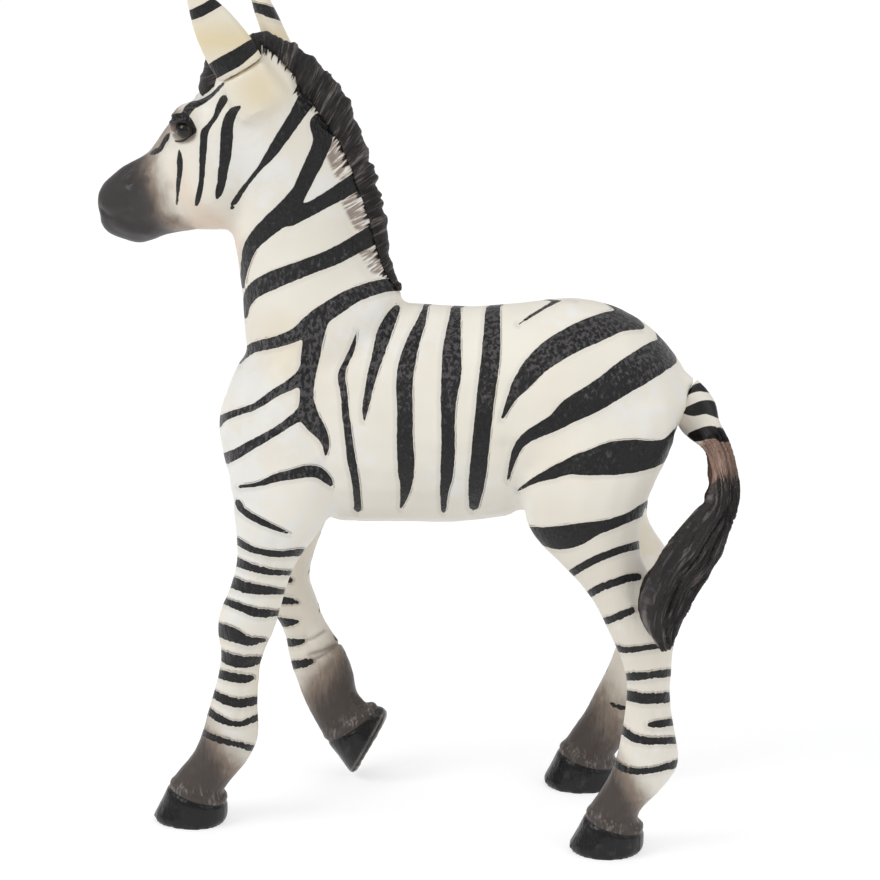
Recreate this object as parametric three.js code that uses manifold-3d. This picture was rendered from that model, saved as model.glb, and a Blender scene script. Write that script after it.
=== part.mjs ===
// A zebra foal figure of hard PVC, cast in ten pieces that are glued together on
// keyed pegs and painted over the seams. It walks toward -X with its right foreleg
// lifted. Lengths are in millimetres, +Z is up, and its left side faces -Y.
//
// Every casting is a loft: a row of oval sections, each spanned between two points of
// the side outline. The tables give those points as shares of the casting's own sizes.

import * as THREE from "three";
import { mergeVertices } from "three/addons/utils/BufferGeometryUtils.js";
import Module from "manifold-3d";

const wasm = await Module();
wasm.setup();

// Glue lines, pegs and cuts

const seamGap = 0.3; // glue line between two castings
const cutReach = 160; // side of the blocks that cut a casting at a plane
const pegTaperShare = 0.82; // tip width of a peg by its root width
const pegOvalShare = 0.72; // pegs are oval, so a casting seats one way only

// Trunk

const trunkLength = 47.6; // point of the chest to the buttock
const trunkDepth = 22.4; // belly to back
const barrelWidth = 18.8;
const bellyHeight = 31; // floor to belly

// Neck

const neckHeight = 24; // withers to poll
const neckDepth = 16; // throat to crest at its root
const neckWidth = 12;
const neckPegWidth = 5;
const neckPegLength = 4;

// Head

const headLength = 19.8; // poll to lips
const headDepth = 18;
const headWidth = 9.8;
const headTurn = 12; // degrees, toward the right
const jawRadius = 4.5;
const jawWidth = 10.3;
const eyeRadius = 1.25;
const browRadius = 1.8;
const nostrilLength = 1.7;
const nostrilTilt = 30; // degrees
const nostrilDepthShare = 0.7;
const nostrilWidthShare = 0.6;
const mouthLength = 4.2;
const mouthGap = 0.35;
const mouthTilt = 8; // degrees

// Mane

const maneHeight = 2.7; // above the crest
const maneWidth = 3.4;
const maneTongue = 1.2; // depth of the slot in the crest

// Ears

const earLength = 10.8;
const earBreadth = 4.8;
const earThickness = 2.5;
const earWall = 0.9;
const earSpread = 7; // between the roots of the two ears
const earPegWidth = 1.3;
const earPegLength = 1.2;

// Legs

const shoulderWidth = 10;
const forelegReach = 10; // scale of the outline along the body
const leftForeSpread = 6.6; // hoof to the middle plane
const rightForeSpread = 8.2;
const haunchWidth = 10;
const hindLegReach = 10;
const hindSpread = 8.8;
const legPegWidth = 2.8;
const legPegLength = 3.2;

// Hooves

const hoofLength = 7.7; // toe to heel along the sole
const hoofHeight = 4.2; // at the toe
const heelHeight = 2.6;
const hoofWidth = 6.4;
const coronetWidth = 5.6;
const toeSlope = 1.8; // how far the coronet lies behind the toe
const liftedHoofTilt = 62; // degrees

// Tail

const tailLength = 24;
const tailReach = 6; // scale of the outline along the body
const tailSwing = 13.2; // the tuft hangs this far out on the left
const tailThickness = 4.6;
const tailPegWidth = 1.8;
const tailPegLength = 2.6;

// Outlines. A row is one section: along and rise of its upper or front point, along
// and rise of its lower or back point, its shift to the side, its half width, and how
// much narrower it is toward its first point.

const trunkShares = [
  [0.012, 0.55, 0.01, 0.33, 0, 0.36, 0],
  [0.035, 0.688, 0.025, 0.18, 0, 0.58, 0],
  [0.084, 0.821, 0.067, 0.06, 0, 0.72, 0.05],
  [0.162, 0.93, 0.151, 0.01, 0, 0.83, 0.1],
  [0.277, 1, 0.256, 0, 0, 0.92, 0.14],
  [0.403, 1.003, 0.382, 0.009, 0, 0.98, 0.12],
  [0.529, 1, 0.508, 0.022, 0, 1, 0.12],
  [0.634, 1.025, 0.624, 0.062, 0, 0.99, 0.1],
  [0.739, 1.057, 0.729, 0.125, 0, 0.97, 0.08],
  [0.834, 1.02, 0.813, 0.156, 0, 0.93, 0.05],
  [0.908, 0.925, 0.887, 0.232, 0, 0.8, 0],
  [0.962, 0.795, 0.941, 0.366, 0, 0.6, 0],
  [0.99, 0.688, 0.972, 0.518, 0, 0.36, 0],
];

const neckShares = [
  [-0.431, -0.371, 0.569, -0.246, 0, 1.1, 0],
  [-0.5, -0.2, 0.463, 0.067, 0, 0.97, 0.06],
  [-0.519, 0.033, 0.312, 0.183, 0, 0.83, 0.08],
  [-0.55, 0.183, 0.25, 0.312, 0, 0.77, 0.08],
  [-0.581, 0.333, 0.2, 0.442, 0, 0.72, 0.08],
  [-0.588, 0.504, 0.137, 0.592, 0, 0.68, 0.08],
  [-0.6, 0.667, 0.056, 0.75, 0, 0.67, 0.06],
  [-0.638, 0.808, -0.069, 0.896, 0, 0.65, 0.03],
  [-0.675, 0.9, -0.25, 1, 0, 0.6, 0],
];

const headShares = [
  [0.096, 0.005, 0.043, -0.803, 0, 0.84, 0],
  [0.29, -0.045, 0.161, -0.9, 0, 0.92, 0],
  [0.483, -0.224, 0.3, -0.953, 0, 0.98, 0],
  [0.618, -0.383, 0.462, -0.97, 0, 0.86, 0],
  [0.726, -0.552, 0.635, -1.02, 0, 0.7, 0],
  [0.862, -0.64, 0.77, -1.085, 0, 0.6, 0],
  [0.975, -0.745, 0.89, -1.06, 0, 0.52, 0],
];

// Crest of the mane over the head, in shares of the head: along and rise.
const foretopShares = [
  [0.14, 0.03],
  [0.285, -0.02],
  [0.37, -0.11],
  [0.42, -0.185],
];

// Height and half width of the mane at each point of its crest.
const maneShares = [
  [0.2, 0.5],
  [0.7, 0.85],
  [0.95, 1],
  [1, 1],
  [1, 1],
  [1, 1],
  [1, 1],
  [1, 1],
  [1.05, 1],
  [0.9, 1],
  [0.6, 0.95],
  [0.3, 0.7],
];

const maneEggShare = 0.1; // how much narrower the crest is than the root

// Rise, half breadth and half thickness of an ear.
const earRootShares = [
  [-0.3, 1.22, 1.55],
  [-0.1, 1.14, 1.4],
  [0.1, 1, 1.1],
];
const earBladeShares = [
  [0.1, 1, 1.1],
  [0.28, 1.02, 1.02],
  [0.45, 0.95, 0.95],
  [0.62, 0.82, 0.85],
  [0.78, 0.61, 0.68],
  [0.9, 0.4, 0.5],
  [0.97, 0.2, 0.3],
];

const cupShiftShare = 0.25; // how far the cup lies toward the open side

const shoulderShares = [
  [-0.2, 1.62, 0.5, 1.62, 0.42, 0.6],
  [-0.5, 1.45, 0.68, 1.4, 0.56, 0.85],
  [-0.62, 1.265, 0.65, 1.2, 0.7, 0.93],
  [-0.57, 1.123, 0.47, 1.065, 0.84, 0.84],
];

const leftForeShares = [
  [-0.52, 1.006, 0.23, 0.974, 0.94, 0.68],
  [-0.51, 0.91, 0.07, 0.89, 0.97, 0.56],
  [-0.58, 0.816, -0.03, 0.8, 0.985, 0.52],
  [-0.68, 0.739, -0.09, 0.723, 1, 0.53],
  [-0.71, 0.661, -0.15, 0.658, 1, 0.5],
  [-0.68, 0.587, -0.26, 0.59, 1, 0.41],
  [-0.72, 0.497, -0.3, 0.49, 1, 0.39],
  [-0.8, 0.406, -0.31, 0.4, 1, 0.43],
  [-0.87, 0.319, -0.31, 0.297, 1, 0.5],
  [-0.97, 0.239, -0.43, 0.213, 1, 0.49],
  [-1.13, 0.174, -0.59, 0.148, 1, 0.47],
  [-1.215, 0.12, -0.7, 0.084, 1, 0.45],
];

const rightForeShares = [
  [-0.48, 1.013, 0.29, 0.968, 0.8, 0.68],
  [-0.47, 0.91, 0.15, 0.877, 0.85, 0.56],
  [-0.51, 0.806, 0.05, 0.787, 0.915, 0.52],
  [-0.57, 0.716, -0.01, 0.703, 0.96, 0.53],
  [-0.53, 0.619, 0.01, 0.648, 0.99, 0.5],
  [-0.35, 0.545, 0.1, 0.568, 1, 0.41],
  [-0.26, 0.465, 0.21, 0.503, 1, 0.39],
  [-0.22, 0.39, 0.35, 0.439, 1, 0.43],
  [-0.16, 0.335, 0.43, 0.368, 1, 0.5],
  [-0.08, 0.268, 0.46, 0.305, 1, 0.49],
  [0.045, 0.18, 0.51, 0.265, 1, 0.47],
  [0.16, 0.118, 0.57, 0.211, 1, 0.45],
];

const haunchShares = [
  [-0.5, 1.64, 0.55, 1.6, 0.3, 0.55],
  [-0.72, 1.47, 0.85, 1.48, 0.44, 0.92],
  [-0.77, 1.29, 0.85, 1.355, 0.57, 1.02],
  [-0.68, 1.155, 0.71, 1.25, 0.69, 0.95],
];

const leftHindShares = [
  [-0.55, 1.061, 0.59, 1.142, 0.78, 0.82],
  [-0.31, 0.984, 0.54, 1.045, 0.84, 0.7],
  [-0.06, 0.91, 0.6, 0.961, 0.89, 0.6],
  [0.13, 0.826, 0.78, 0.884, 0.92, 0.56],
  [0.27, 0.735, 0.94, 0.806, 0.955, 0.54],
  [0.39, 0.658, 0.91, 0.697, 0.98, 0.47],
  [0.45, 0.568, 0.88, 0.587, 0.99, 0.4],
  [0.43, 0.477, 0.9, 0.487, 1, 0.4],
  [0.39, 0.39, 0.95, 0.39, 1, 0.47],
  [0.34, 0.31, 0.97, 0.297, 1, 0.52],
  [0.24, 0.232, 0.79, 0.213, 1, 0.49],
  [0.12, 0.168, 0.6, 0.148, 1, 0.47],
  [0.05, 0.12, 0.56, 0.084, 1, 0.45],
];

const rightHindShares = [
  [-0.59, 1.061, 0.55, 1.135, 0.78, 0.82],
  [-0.37, 0.981, 0.48, 1.039, 0.84, 0.7],
  [-0.14, 0.9, 0.48, 0.942, 0.89, 0.6],
  [0.04, 0.813, 0.62, 0.865, 0.92, 0.56],
  [0.16, 0.716, 0.76, 0.781, 0.955, 0.54],
  [0.21, 0.639, 0.71, 0.671, 0.98, 0.47],
  [0.2, 0.555, 0.61, 0.565, 0.99, 0.4],
  [0.13, 0.474, 0.57, 0.458, 1, 0.4],
  [0.04, 0.397, 0.54, 0.368, 1, 0.47],
  [-0.07, 0.323, 0.5, 0.271, 1, 0.52],
  [-0.2, 0.242, 0.34, 0.19, 1, 0.49],
  [-0.34, 0.168, 0.21, 0.139, 1, 0.47],
  [-0.42, 0.12, 0.1, 0.084, 1, 0.45],
];

const soleShare = 0.5; // how far the rim of the sole is drawn in

// Rise of a ring of the hoof wall, and how far it is drawn in from the width at the floor
// toward the coronet's.
const hoofWallShares = [
  [0.55, 0.4],
  [0.9, 0.9],
  [1, 1.3],
];

const tailShares = [
  [-0.166, 0.128, -0.29, -0.055, 0, 0.7],
  [0.256, 0.053, -0.084, -0.111, 0.015, 0.74],
  [0.498, -0.008, 0.008, -0.157, 0.045, 0.74],
  [0.663, -0.078, 0.139, -0.188, 0.106, 0.74],
  [0.873, -0.17, 0.38, -0.223, 0.212, 0.83],
  [1.018, -0.25, 0.491, -0.278, 0.333, 0.91],
  [1.113, -0.331, 0.503, -0.334, 0.455, 0.96],
  [1.109, -0.404, 0.4, -0.386, 0.576, 1],
  [0.987, -0.472, 0.213, -0.455, 0.682, 1],
  [0.865, -0.544, -0.023, -0.529, 0.788, 0.96],
  [0.707, -0.607, -0.261, -0.601, 0.879, 0.87],
  [0.496, -0.698, -0.441, -0.687, 0.939, 0.78],
  [0.28, -0.797, -0.444, -0.776, 0.977, 0.7],
  [0.139, -0.874, -0.289, -0.862, 0.992, 0.57],
  [0.061, -0.926, -0.104, -0.915, 1, 0.43],
];

// Where the castings meet the trunk, in shares of the trunk's length and depth.
const neckRootShares = [0.223, 1];
const shoulderShare = 0.162;
const hipShare = 0.792;
const tailRootShares = [0.975, 0.652];

// Where features sit on the head, in shares of its length, depth and half width.
const jawPlaceShares = [0.36, -0.68];
const eyePlaceShares = [0.473, -0.334, 0.74];
const browPlaceShares = [0.452, -0.305, 0.54];
const nostrilPlaceShares = [0.83, -0.715, 0.52];
const mouthPlaceShares = [0.99, -0.93];
const earRootPlaceShares = [0.15, -0.03];

// Where a seam lies, in shares of its casting's run of sections.
const neckSeamShare = 0.125;
const foreSeamShare = 0.307;
const hindSeamShare = 0.331;
const tailSeamShare = 0.0714;

// How finely each loft is drawn: points round a ring, rings from one section to the next,
// and how far its ends are domed, in shares of the end's own half depth.
const barrelRings = { sides: 24, steps: 2, startDomeShare: 0.15, endDomeShare: 0.3 };
const neckRings = { sides: 22, steps: 2, endDomeShare: 0.5 };
const skullRings = { sides: 22, steps: 2, endDomeShare: 0.5 };
const maneRings = { sides: 12, steps: 2, startDomeShare: 0.4, endDomeShare: 0.4 };
const earRootRings = { sides: 16, steps: 1 };
const earBladeRings = { sides: 16, steps: 2, endDomeShare: 0.8 };
const earCupRings = { sides: 14, steps: 2, startDomeShare: 0.6, endDomeShare: 0.3 };
const legRings = { sides: 16, steps: 2, startDomeShare: 0.5 };
const hoofRings = { sides: 18, steps: 1 };
const tailRings = { sides: 14, steps: 2, endDomeShare: 0.6 };

const middle = new THREE.Vector3(0, 1, 0); // sideways axis of every section

// Solids from geometries

function solidOf(geometry) {
  const bare = geometry.index ? geometry.clone() : geometry;
  bare.deleteAttribute("normal");
  bare.deleteAttribute("uv");
  const merged = mergeVertices(bare);
  return new wasm.Manifold(
    new wasm.Mesh({
      numProp: 3,
      vertProperties: new Float32Array(merged.attributes.position.array),
      triVerts: new Uint32Array(merged.index.array),
    }),
  );
}

function joined(...solids) {
  return solids.reduce((whole, piece) => whole.add(piece));
}

function meshOf(name, solid, colour, roughness) {
  const made = solid.getMesh();
  const geometry = new THREE.BufferGeometry();
  geometry.setAttribute("position", new THREE.BufferAttribute(made.vertProperties, 3));
  geometry.setIndex(new THREE.BufferAttribute(made.triVerts, 1));
  geometry.computeVertexNormals();
  const material = new THREE.MeshStandardMaterial({ color: colour, roughness, metalness: 0 });
  const mesh = new THREE.Mesh(geometry, material);
  mesh.name = name;
  return mesh;
}

// Lofts

// Turns the rows of a table into sections, placed and scaled by the casting's sizes.
function sectionsOf(table, place) {
  return table.map(([frontAlong, frontRise, backAlong, backRise, side, half, egg = 0]) => {
    const y = side * place.spread;
    return {
      first: new THREE.Vector3(
        place.x + frontAlong * place.length,
        y,
        place.z + frontRise * place.height,
      ),
      last: new THREE.Vector3(
        place.x + backAlong * place.length,
        y,
        place.z + backRise * place.height,
      ),
      half: half * place.half,
      egg,
    };
  });
}

// A smooth run through the sections, read at any place from 0 to the last row.
function runOf(sections) {
  const curve = (points) => new THREE.CatmullRomCurve3(points, false, "catmullrom");
  const firsts = curve(sections.map((section) => section.first));
  const lasts = curve(sections.map((section) => section.last));
  const widths = curve(sections.map((section) => new THREE.Vector3(section.half, section.egg, 0)));
  const rows = sections.length - 1;
  return (row) => {
    const width = widths.getPoint(row / rows);
    return {
      first: firsts.getPoint(row / rows),
      last: lasts.getPoint(row / rows),
      half: width.x,
      egg: width.y,
    };
  };
}

function centreOf(section) {
  return section.first.clone().add(section.last).multiplyScalar(0.5);
}

// One oval ring of points, shrunk about its centre by the factor and moved by the shift.
function ringOf(section, sides, factor, shift, swell) {
  const centre = centreOf(section);
  const reach = section.first.clone().sub(centre);
  const long = (reach.length() + swell) * factor;
  reach.normalize();
  return Array.from({ length: sides }, (_, k) => {
    const angle = (2 * Math.PI * k) / sides;
    const upward = Math.cos(angle);
    const across = Math.sin(angle) * (1 - section.egg * upward);
    return centre
      .clone()
      .add(shift)
      .addScaledVector(reach, long * upward)
      .addScaledVector(middle, (section.half + swell) * factor * across);
  });
}

// Rings that round off one end of a loft, from the widest to the tip.
function domeRings(end, inner, sides, domeShare, swell) {
  const outward = centreOf(end).sub(centreOf(inner)).normalize();
  const half = end.first.distanceTo(end.last) / 2;
  const depth = half * domeShare + swell;
  return [1, 2].map((step) => {
    const angle = (step * Math.PI) / 6;
    const shift = outward.clone().multiplyScalar(depth * Math.sin(angle));
    return ringOf(end, sides, Math.cos(angle), shift, swell);
  });
}

// The last point of a loft: the top of its dome, or the middle of a flat end.
function endOf(end, inner, domeShare, swell) {
  if (domeShare === 0) {
    return centreOf(end);
  }
  const outward = centreOf(end).sub(centreOf(inner)).normalize();
  const half = end.first.distanceTo(end.last) / 2;
  return centreOf(end).addScaledVector(outward, half * domeShare + swell);
}

// A closed skin over rings of points, with a single point at each end.
function skinOf(rings, startTip, endTip) {
  const sides = rings[0].length;
  const points = [startTip, ...rings.flat(), endTip];
  const tip = points.length - 1;
  const triangles = [];
  for (let k = 0; k < sides; k += 1) {
    const next = (k + 1) % sides;
    triangles.push([0, 1 + next, 1 + k]);
    triangles.push([tip, tip - sides + k, tip - sides + next]);
    for (let r = 0; r < rings.length - 1; r += 1) {
      const near = 1 + r * sides;
      const far = near + sides;
      triangles.push([near + k, near + next, far + k]);
      triangles.push([near + next, far + next, far + k]);
    }
  }
  return facingOut(points, triangles);
}

function facingOut(points, triangles) {
  const volume = triangles.reduce((sum, [a, b, c]) => {
    const normal = points[b].clone().cross(points[c]);
    return sum + points[a].dot(normal);
  }, 0);
  const ordered = volume > 0 ? triangles : triangles.map(([a, b, c]) => [a, c, b]);
  const geometry = new THREE.BufferGeometry().setFromPoints(points);
  geometry.setIndex(ordered.flat());
  return geometry;
}

// A closed loft through the sections. The swell makes it larger all round.
function loft(sections, { sides, steps, startDomeShare = 0, endDomeShare = 0, swell = 0 }) {
  const run = runOf(sections);
  const rows = sections.length - 1;
  const still = new THREE.Vector3();
  const rings = [];
  for (let k = 0; k <= rows * steps; k += 1) {
    rings.push(ringOf(run(k / steps), sides, 1, still, swell));
  }
  const start = run(0);
  const afterStart = run(1 / steps);
  const end = run(rows);
  const beforeEnd = run(rows - 1 / steps);
  if (startDomeShare > 0) {
    rings.unshift(...domeRings(start, afterStart, sides, startDomeShare, swell).reverse());
  }
  if (endDomeShare > 0) {
    rings.push(...domeRings(end, beforeEnd, sides, endDomeShare, swell));
  }
  const startTip = endOf(start, afterStart, startDomeShare, swell);
  const endTip = endOf(end, beforeEnd, endDomeShare, swell);
  return skinOf(rings, startTip, endTip);
}

// Seams and pegs

// The plane of a section part of the way along: its middle, and the direction in which
// the loft runs on.
function seamAt(sections, share) {
  const section = runOf(sections)(share * (sections.length - 1));
  const point = centreOf(section);
  const normal = section.first.clone().sub(section.last).cross(middle).normalize();
  const onward = sections[sections.length - 1].first.clone().sub(sections[0].first);
  if (normal.dot(onward) < 0) {
    normal.negate();
  }
  return { point, normal };
}

// A block with one face in the seam plane, moved along the normal by the shift, that
// fills everything beyond it.
function blockBeyond(seam, shift) {
  const block = new THREE.BoxGeometry(cutReach, cutReach, cutReach);
  block.translate(0, 0, cutReach / 2);
  const turn = new THREE.Quaternion().setFromUnitVectors(new THREE.Vector3(0, 0, 1), seam.normal);
  block.applyQuaternion(turn);
  const at = seam.point.clone().addScaledVector(seam.normal, shift);
  block.translate(at.x, at.y, at.z);
  return solidOf(block);
}

// An oval tapered peg that stands on the seam and points against its normal, rooted
// one width deep in the casting that carries it. The swell makes its socket.
function pegAt(seam, width, length, swell) {
  const root = width / 2 + swell;
  const tip = (width * pegTaperShare) / 2 + swell;
  const full = length + width + swell;
  const shape = new THREE.CylinderGeometry(root, tip, full, 12);
  shape.scale(1, 1, pegOvalShare);
  shape.translate(0, width - full / 2, 0);
  const turn = new THREE.Quaternion().setFromUnitVectors(new THREE.Vector3(0, 1, 0), seam.normal);
  shape.applyQuaternion(turn);
  shape.translate(seam.point.x, seam.point.y, seam.point.z);
  return solidOf(shape);
}

// Trunk, neck and their seam

const trunkPlace = {
  x: 0,
  z: bellyHeight,
  length: trunkLength,
  height: trunkDepth,
  spread: 0,
  half: barrelWidth / 2,
};
const trunkSections = sectionsOf(trunkShares, trunkPlace);
const barrel = solidOf(loft(trunkSections, barrelRings));

const neckPlace = {
  x: neckRootShares[0] * trunkLength,
  z: bellyHeight + neckRootShares[1] * trunkDepth,
  length: neckDepth,
  height: neckHeight,
  spread: 0,
  half: neckWidth / 2,
};
const neckSections = sectionsOf(neckShares, neckPlace);
const neckSeam = seamAt(neckSections, neckSeamShare);
const neckLoft = solidOf(loft(neckSections, neckRings));

// Head, turned about the poll

const poll = neckSections[neckSections.length - 1].last;
const turned = new THREE.Matrix4()
  .makeTranslation(poll.x, poll.y, poll.z)
  .multiply(new THREE.Matrix4().makeRotationZ(THREE.MathUtils.degToRad(-headTurn)))
  .multiply(new THREE.Matrix4().makeTranslation(-poll.x, -poll.y, -poll.z));

const headPlace = {
  x: poll.x,
  z: poll.z,
  length: -headLength,
  height: headDepth,
  spread: 0,
  half: headWidth / 2,
};

function headPoint([alongShare, riseShare, sideShare = 0], side) {
  return new THREE.Vector3(
    poll.x - alongShare * headLength,
    (side * sideShare * headWidth) / 2,
    poll.z + riseShare * headDepth,
  );
}

function ballAt(point, radius, width) {
  const ball = new THREE.SphereGeometry(radius, 14, 9);
  ball.scale(1, width / (2 * radius), 1);
  ball.translate(point.x, point.y, point.z);
  return ball;
}

function turnedSolid(geometry) {
  geometry.applyMatrix4(turned);
  return solidOf(geometry);
}

const left = -1;
const right = 1;

function eyeOn(side) {
  const brow = ballAt(headPoint(browPlaceShares, side), browRadius, 2 * browRadius);
  const eye = ballAt(headPoint(eyePlaceShares, side), eyeRadius, 2 * eyeRadius);
  return turnedSolid(brow).add(turnedSolid(eye));
}

function nostrilOn(side) {
  const pit = new THREE.SphereGeometry(nostrilLength / 2, 12, 8);
  pit.scale(1, nostrilDepthShare, nostrilWidthShare);
  pit.rotateY(THREE.MathUtils.degToRad(-nostrilTilt));
  const at = headPoint(nostrilPlaceShares, side);
  pit.translate(at.x, at.y, at.z);
  return turnedSolid(pit);
}

function mouthCut() {
  const slit = new THREE.BoxGeometry(mouthLength, headWidth, mouthGap);
  slit.rotateY(THREE.MathUtils.degToRad(-mouthTilt));
  const at = headPoint(mouthPlaceShares, 0);
  slit.translate(at.x, at.y, at.z);
  return turnedSolid(slit);
}

const skullSections = sectionsOf(headShares, headPlace);
const skullLoft = loft(skullSections, skullRings);

// Ears, built upright at the origin with the cup toward +Y

function earSections(table, inset, shift) {
  return table.map(([riseShare, breadthShare, thicknessShare]) => {
    const reach = (breadthShare * earBreadth) / 2 - inset;
    const z = riseShare * earLength;
    return {
      first: new THREE.Vector3(-reach, shift, z),
      last: new THREE.Vector3(reach, shift, z),
      half: (thicknessShare * earThickness) / 2,
      egg: 0,
    };
  });
}

function earRoot() {
  const sections = earSections(earRootShares, 0, 0);
  return loft(sections, earRootRings);
}

// The space that a blade needs around it where it passes the head.
function earClearance() {
  const sections = earSections(earBladeShares, 0, 0);
  return loft(sections, { ...earBladeRings, steps: 1, swell: seamGap });
}

function earBlade() {
  const sections = earSections(earBladeShares, 0, 0);
  sections[0].first.z += seamGap;
  sections[0].last.z += seamGap;
  const blade = solidOf(loft(sections, earBladeRings));
  const [, ...cupShares] = earBladeShares;
  const hollow = earSections(cupShares, earWall, earWall + cupShiftShare * earThickness);
  const cup = solidOf(loft(hollow, earCupRings));
  return blade.subtract(cup);
}

function earSeam() {
  const z = earBladeShares[0][0] * earLength;
  return { point: new THREE.Vector3(0, 0, z), normal: new THREE.Vector3(0, 0, 1) };
}

// How an ear stands: degrees of twist about itself, lean forward and splay outward.
const earPoses = {
  left: { side: left, twist: -20, lean: 30, splay: 8, backShare: 0.03, dropShare: 0.01 },
  right: { side: right, twist: 106, lean: 28, splay: 16, backShare: 0.12, dropShare: 0.09 },
};

function earStand({ side, twist, lean, splay, backShare, dropShare }) {
  const degrees = THREE.MathUtils.degToRad;
  const [alongShare, riseShare] = earRootPlaceShares;
  const at = headPoint([alongShare - backShare, riseShare - dropShare], side);
  return turned
    .clone()
    .multiply(new THREE.Matrix4().makeTranslation(at.x, (side * earSpread) / 2, at.z))
    .multiply(new THREE.Matrix4().makeRotationX(degrees(-side * splay)))
    .multiply(new THREE.Matrix4().makeRotationY(degrees(-lean)))
    .multiply(new THREE.Matrix4().makeRotationZ(degrees(side * twist)));
}

function stood(solid, matrix) {
  return solid.transform(matrix.elements);
}

function earOn(pose) {
  const stand = earStand(pose);
  const seam = earSeam();
  const peg = pegAt(seam, earPegWidth, earPegLength, 0);
  const socket = pegAt(seam, earPegWidth, earPegLength, seamGap);
  return {
    blade: stood(earBlade().add(peg), stand),
    root: stood(solidOf(earRoot()), stand),
    cut: stood(solidOf(earClearance()).add(socket), stand),
  };
}

const leftEar = earOn(earPoses.left);
const rightEar = earOn(earPoses.right);

// Mane, along the crest of the neck and over the poll to the forehead

function manePath() {
  const [, ...aboveRoot] = neckSections;
  const crest = aboveRoot.map((section) => section.last.clone());
  const foretop = foretopShares.map((shares) => headPoint(shares, 0).applyMatrix4(turned));
  return [...crest, ...foretop];
}

function maneSections() {
  const path = manePath();
  const curve = new THREE.CatmullRomCurve3(path, false, "catmullrom");
  return path.map((point, k) => {
    const tangent = curve.getTangent(k / (path.length - 1));
    const outward = middle.clone().cross(tangent).normalize();
    const [heightShare, widthShare] = maneShares[k];
    return {
      first: point.clone().addScaledVector(outward, heightShare * maneHeight),
      last: point.clone().addScaledVector(outward, -maneTongue),
      half: (widthShare * maneWidth) / 2,
      egg: maneEggShare,
    };
  });
}

const mane = solidOf(loft(maneSections(), maneRings));
const maneSlot = solidOf(loft(maneSections(), { ...maneRings, swell: seamGap }));

// Hooves

function hoofSection(first, last, inwardShare) {
  const half = THREE.MathUtils.lerp(hoofWidth, coronetWidth, inwardShare) / 2;
  return { first, last, half, egg: 0 };
}

function hoofSections() {
  const along = (x, z) => new THREE.Vector3(x, 0, z);
  const lip = (hoofWidth - coronetWidth) / 2;
  const sole = hoofSection(along(lip, 0), along(hoofLength - lip, 0), soleShare);
  const rim = hoofSection(along(0, lip), along(hoofLength, lip), 0);
  const wall = hoofWallShares.map(([riseShare, inwardShare]) => {
    const front = along(toeSlope * riseShare, hoofHeight * riseShare);
    const back = along(hoofLength, heelHeight * riseShare);
    return hoofSection(front, back, inwardShare);
  });
  return [sole, rim, ...wall];
}

// A hoof with its toe at the given place, tilted up behind the toe.
function hoofAt(toe, tilt) {
  const hoof = loft(hoofSections(), hoofRings);
  hoof.rotateY(THREE.MathUtils.degToRad(-tilt));
  hoof.translate(toe.x, toe.y, toe.z);
  return solidOf(hoof);
}

// The toe lies under the front of the lowest section of the leg.
function toeUnder(sections, tilt) {
  const front = sections[sections.length - 1].first;
  const up = new THREE.Vector3(toeSlope, 0, hoofHeight);
  up.applyAxisAngle(middle, THREE.MathUtils.degToRad(-tilt));
  return new THREE.Vector3(front.x - up.x, front.y, tilt > 0 ? front.z - up.z : 0);
}

// The lowest section of a standing leg again, halfway down the hoof, so that the leg
// reaches into it at any height of the belly.
function footOf(sections) {
  const lowest = sections[sections.length - 1];
  const first = lowest.first.clone().setZ(hoofHeight / 2);
  const last = lowest.last.clone().setZ(heelHeight / 2);
  return { ...lowest, first, last };
}

// Legs: each is one loft from inside the trunk to the hoof, parted at its seam

function legOf({ upperShares, lowerShares, rootShare, reach, spread, width, seamShare, tilt }) {
  const place = {
    x: rootShare * trunkLength,
    z: 0,
    length: reach,
    height: bellyHeight,
    spread,
    half: width / 2,
  };
  const sections = sectionsOf([...upperShares, ...lowerShares], place);
  const run = tilt > 0 ? sections : [...sections, footOf(sections)];
  const limb = solidOf(loft(run, legRings));
  const seam = seamAt(sections, seamShare);
  const hoof = hoofAt(toeUnder(sections, tilt), tilt);
  const upward = { point: seam.point, normal: seam.normal.clone().negate() };
  const peg = pegAt({ point: seam.point, normal: seam.normal }, legPegWidth, legPegLength, 0);
  const socket = pegAt(seam, legPegWidth, legPegLength, seamGap);
  return {
    root: limb.intersect(blockBeyond(upward, seamGap)),
    leg: joined(limb.intersect(blockBeyond(seam, 0)), hoof, peg),
    socket,
  };
}

const fore = {
  upperShares: shoulderShares,
  rootShare: shoulderShare,
  reach: forelegReach,
  width: shoulderWidth,
  seamShare: foreSeamShare,
};
const hind = {
  upperShares: haunchShares,
  rootShare: hipShare,
  reach: hindLegReach,
  width: haunchWidth,
  seamShare: hindSeamShare,
};
const leftFore = legOf({
  ...fore,
  lowerShares: leftForeShares,
  spread: left * leftForeSpread,
  tilt: 0,
});
const rightFore = legOf({
  ...fore,
  lowerShares: rightForeShares,
  spread: right * rightForeSpread,
  tilt: liftedHoofTilt,
});
const leftHind = legOf({
  ...hind,
  lowerShares: leftHindShares,
  spread: left * hindSpread,
  tilt: 0,
});
const rightHind = legOf({
  ...hind,
  lowerShares: rightHindShares,
  spread: right * hindSpread,
  tilt: 0,
});

// Tail, parted from the rump at its root

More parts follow.
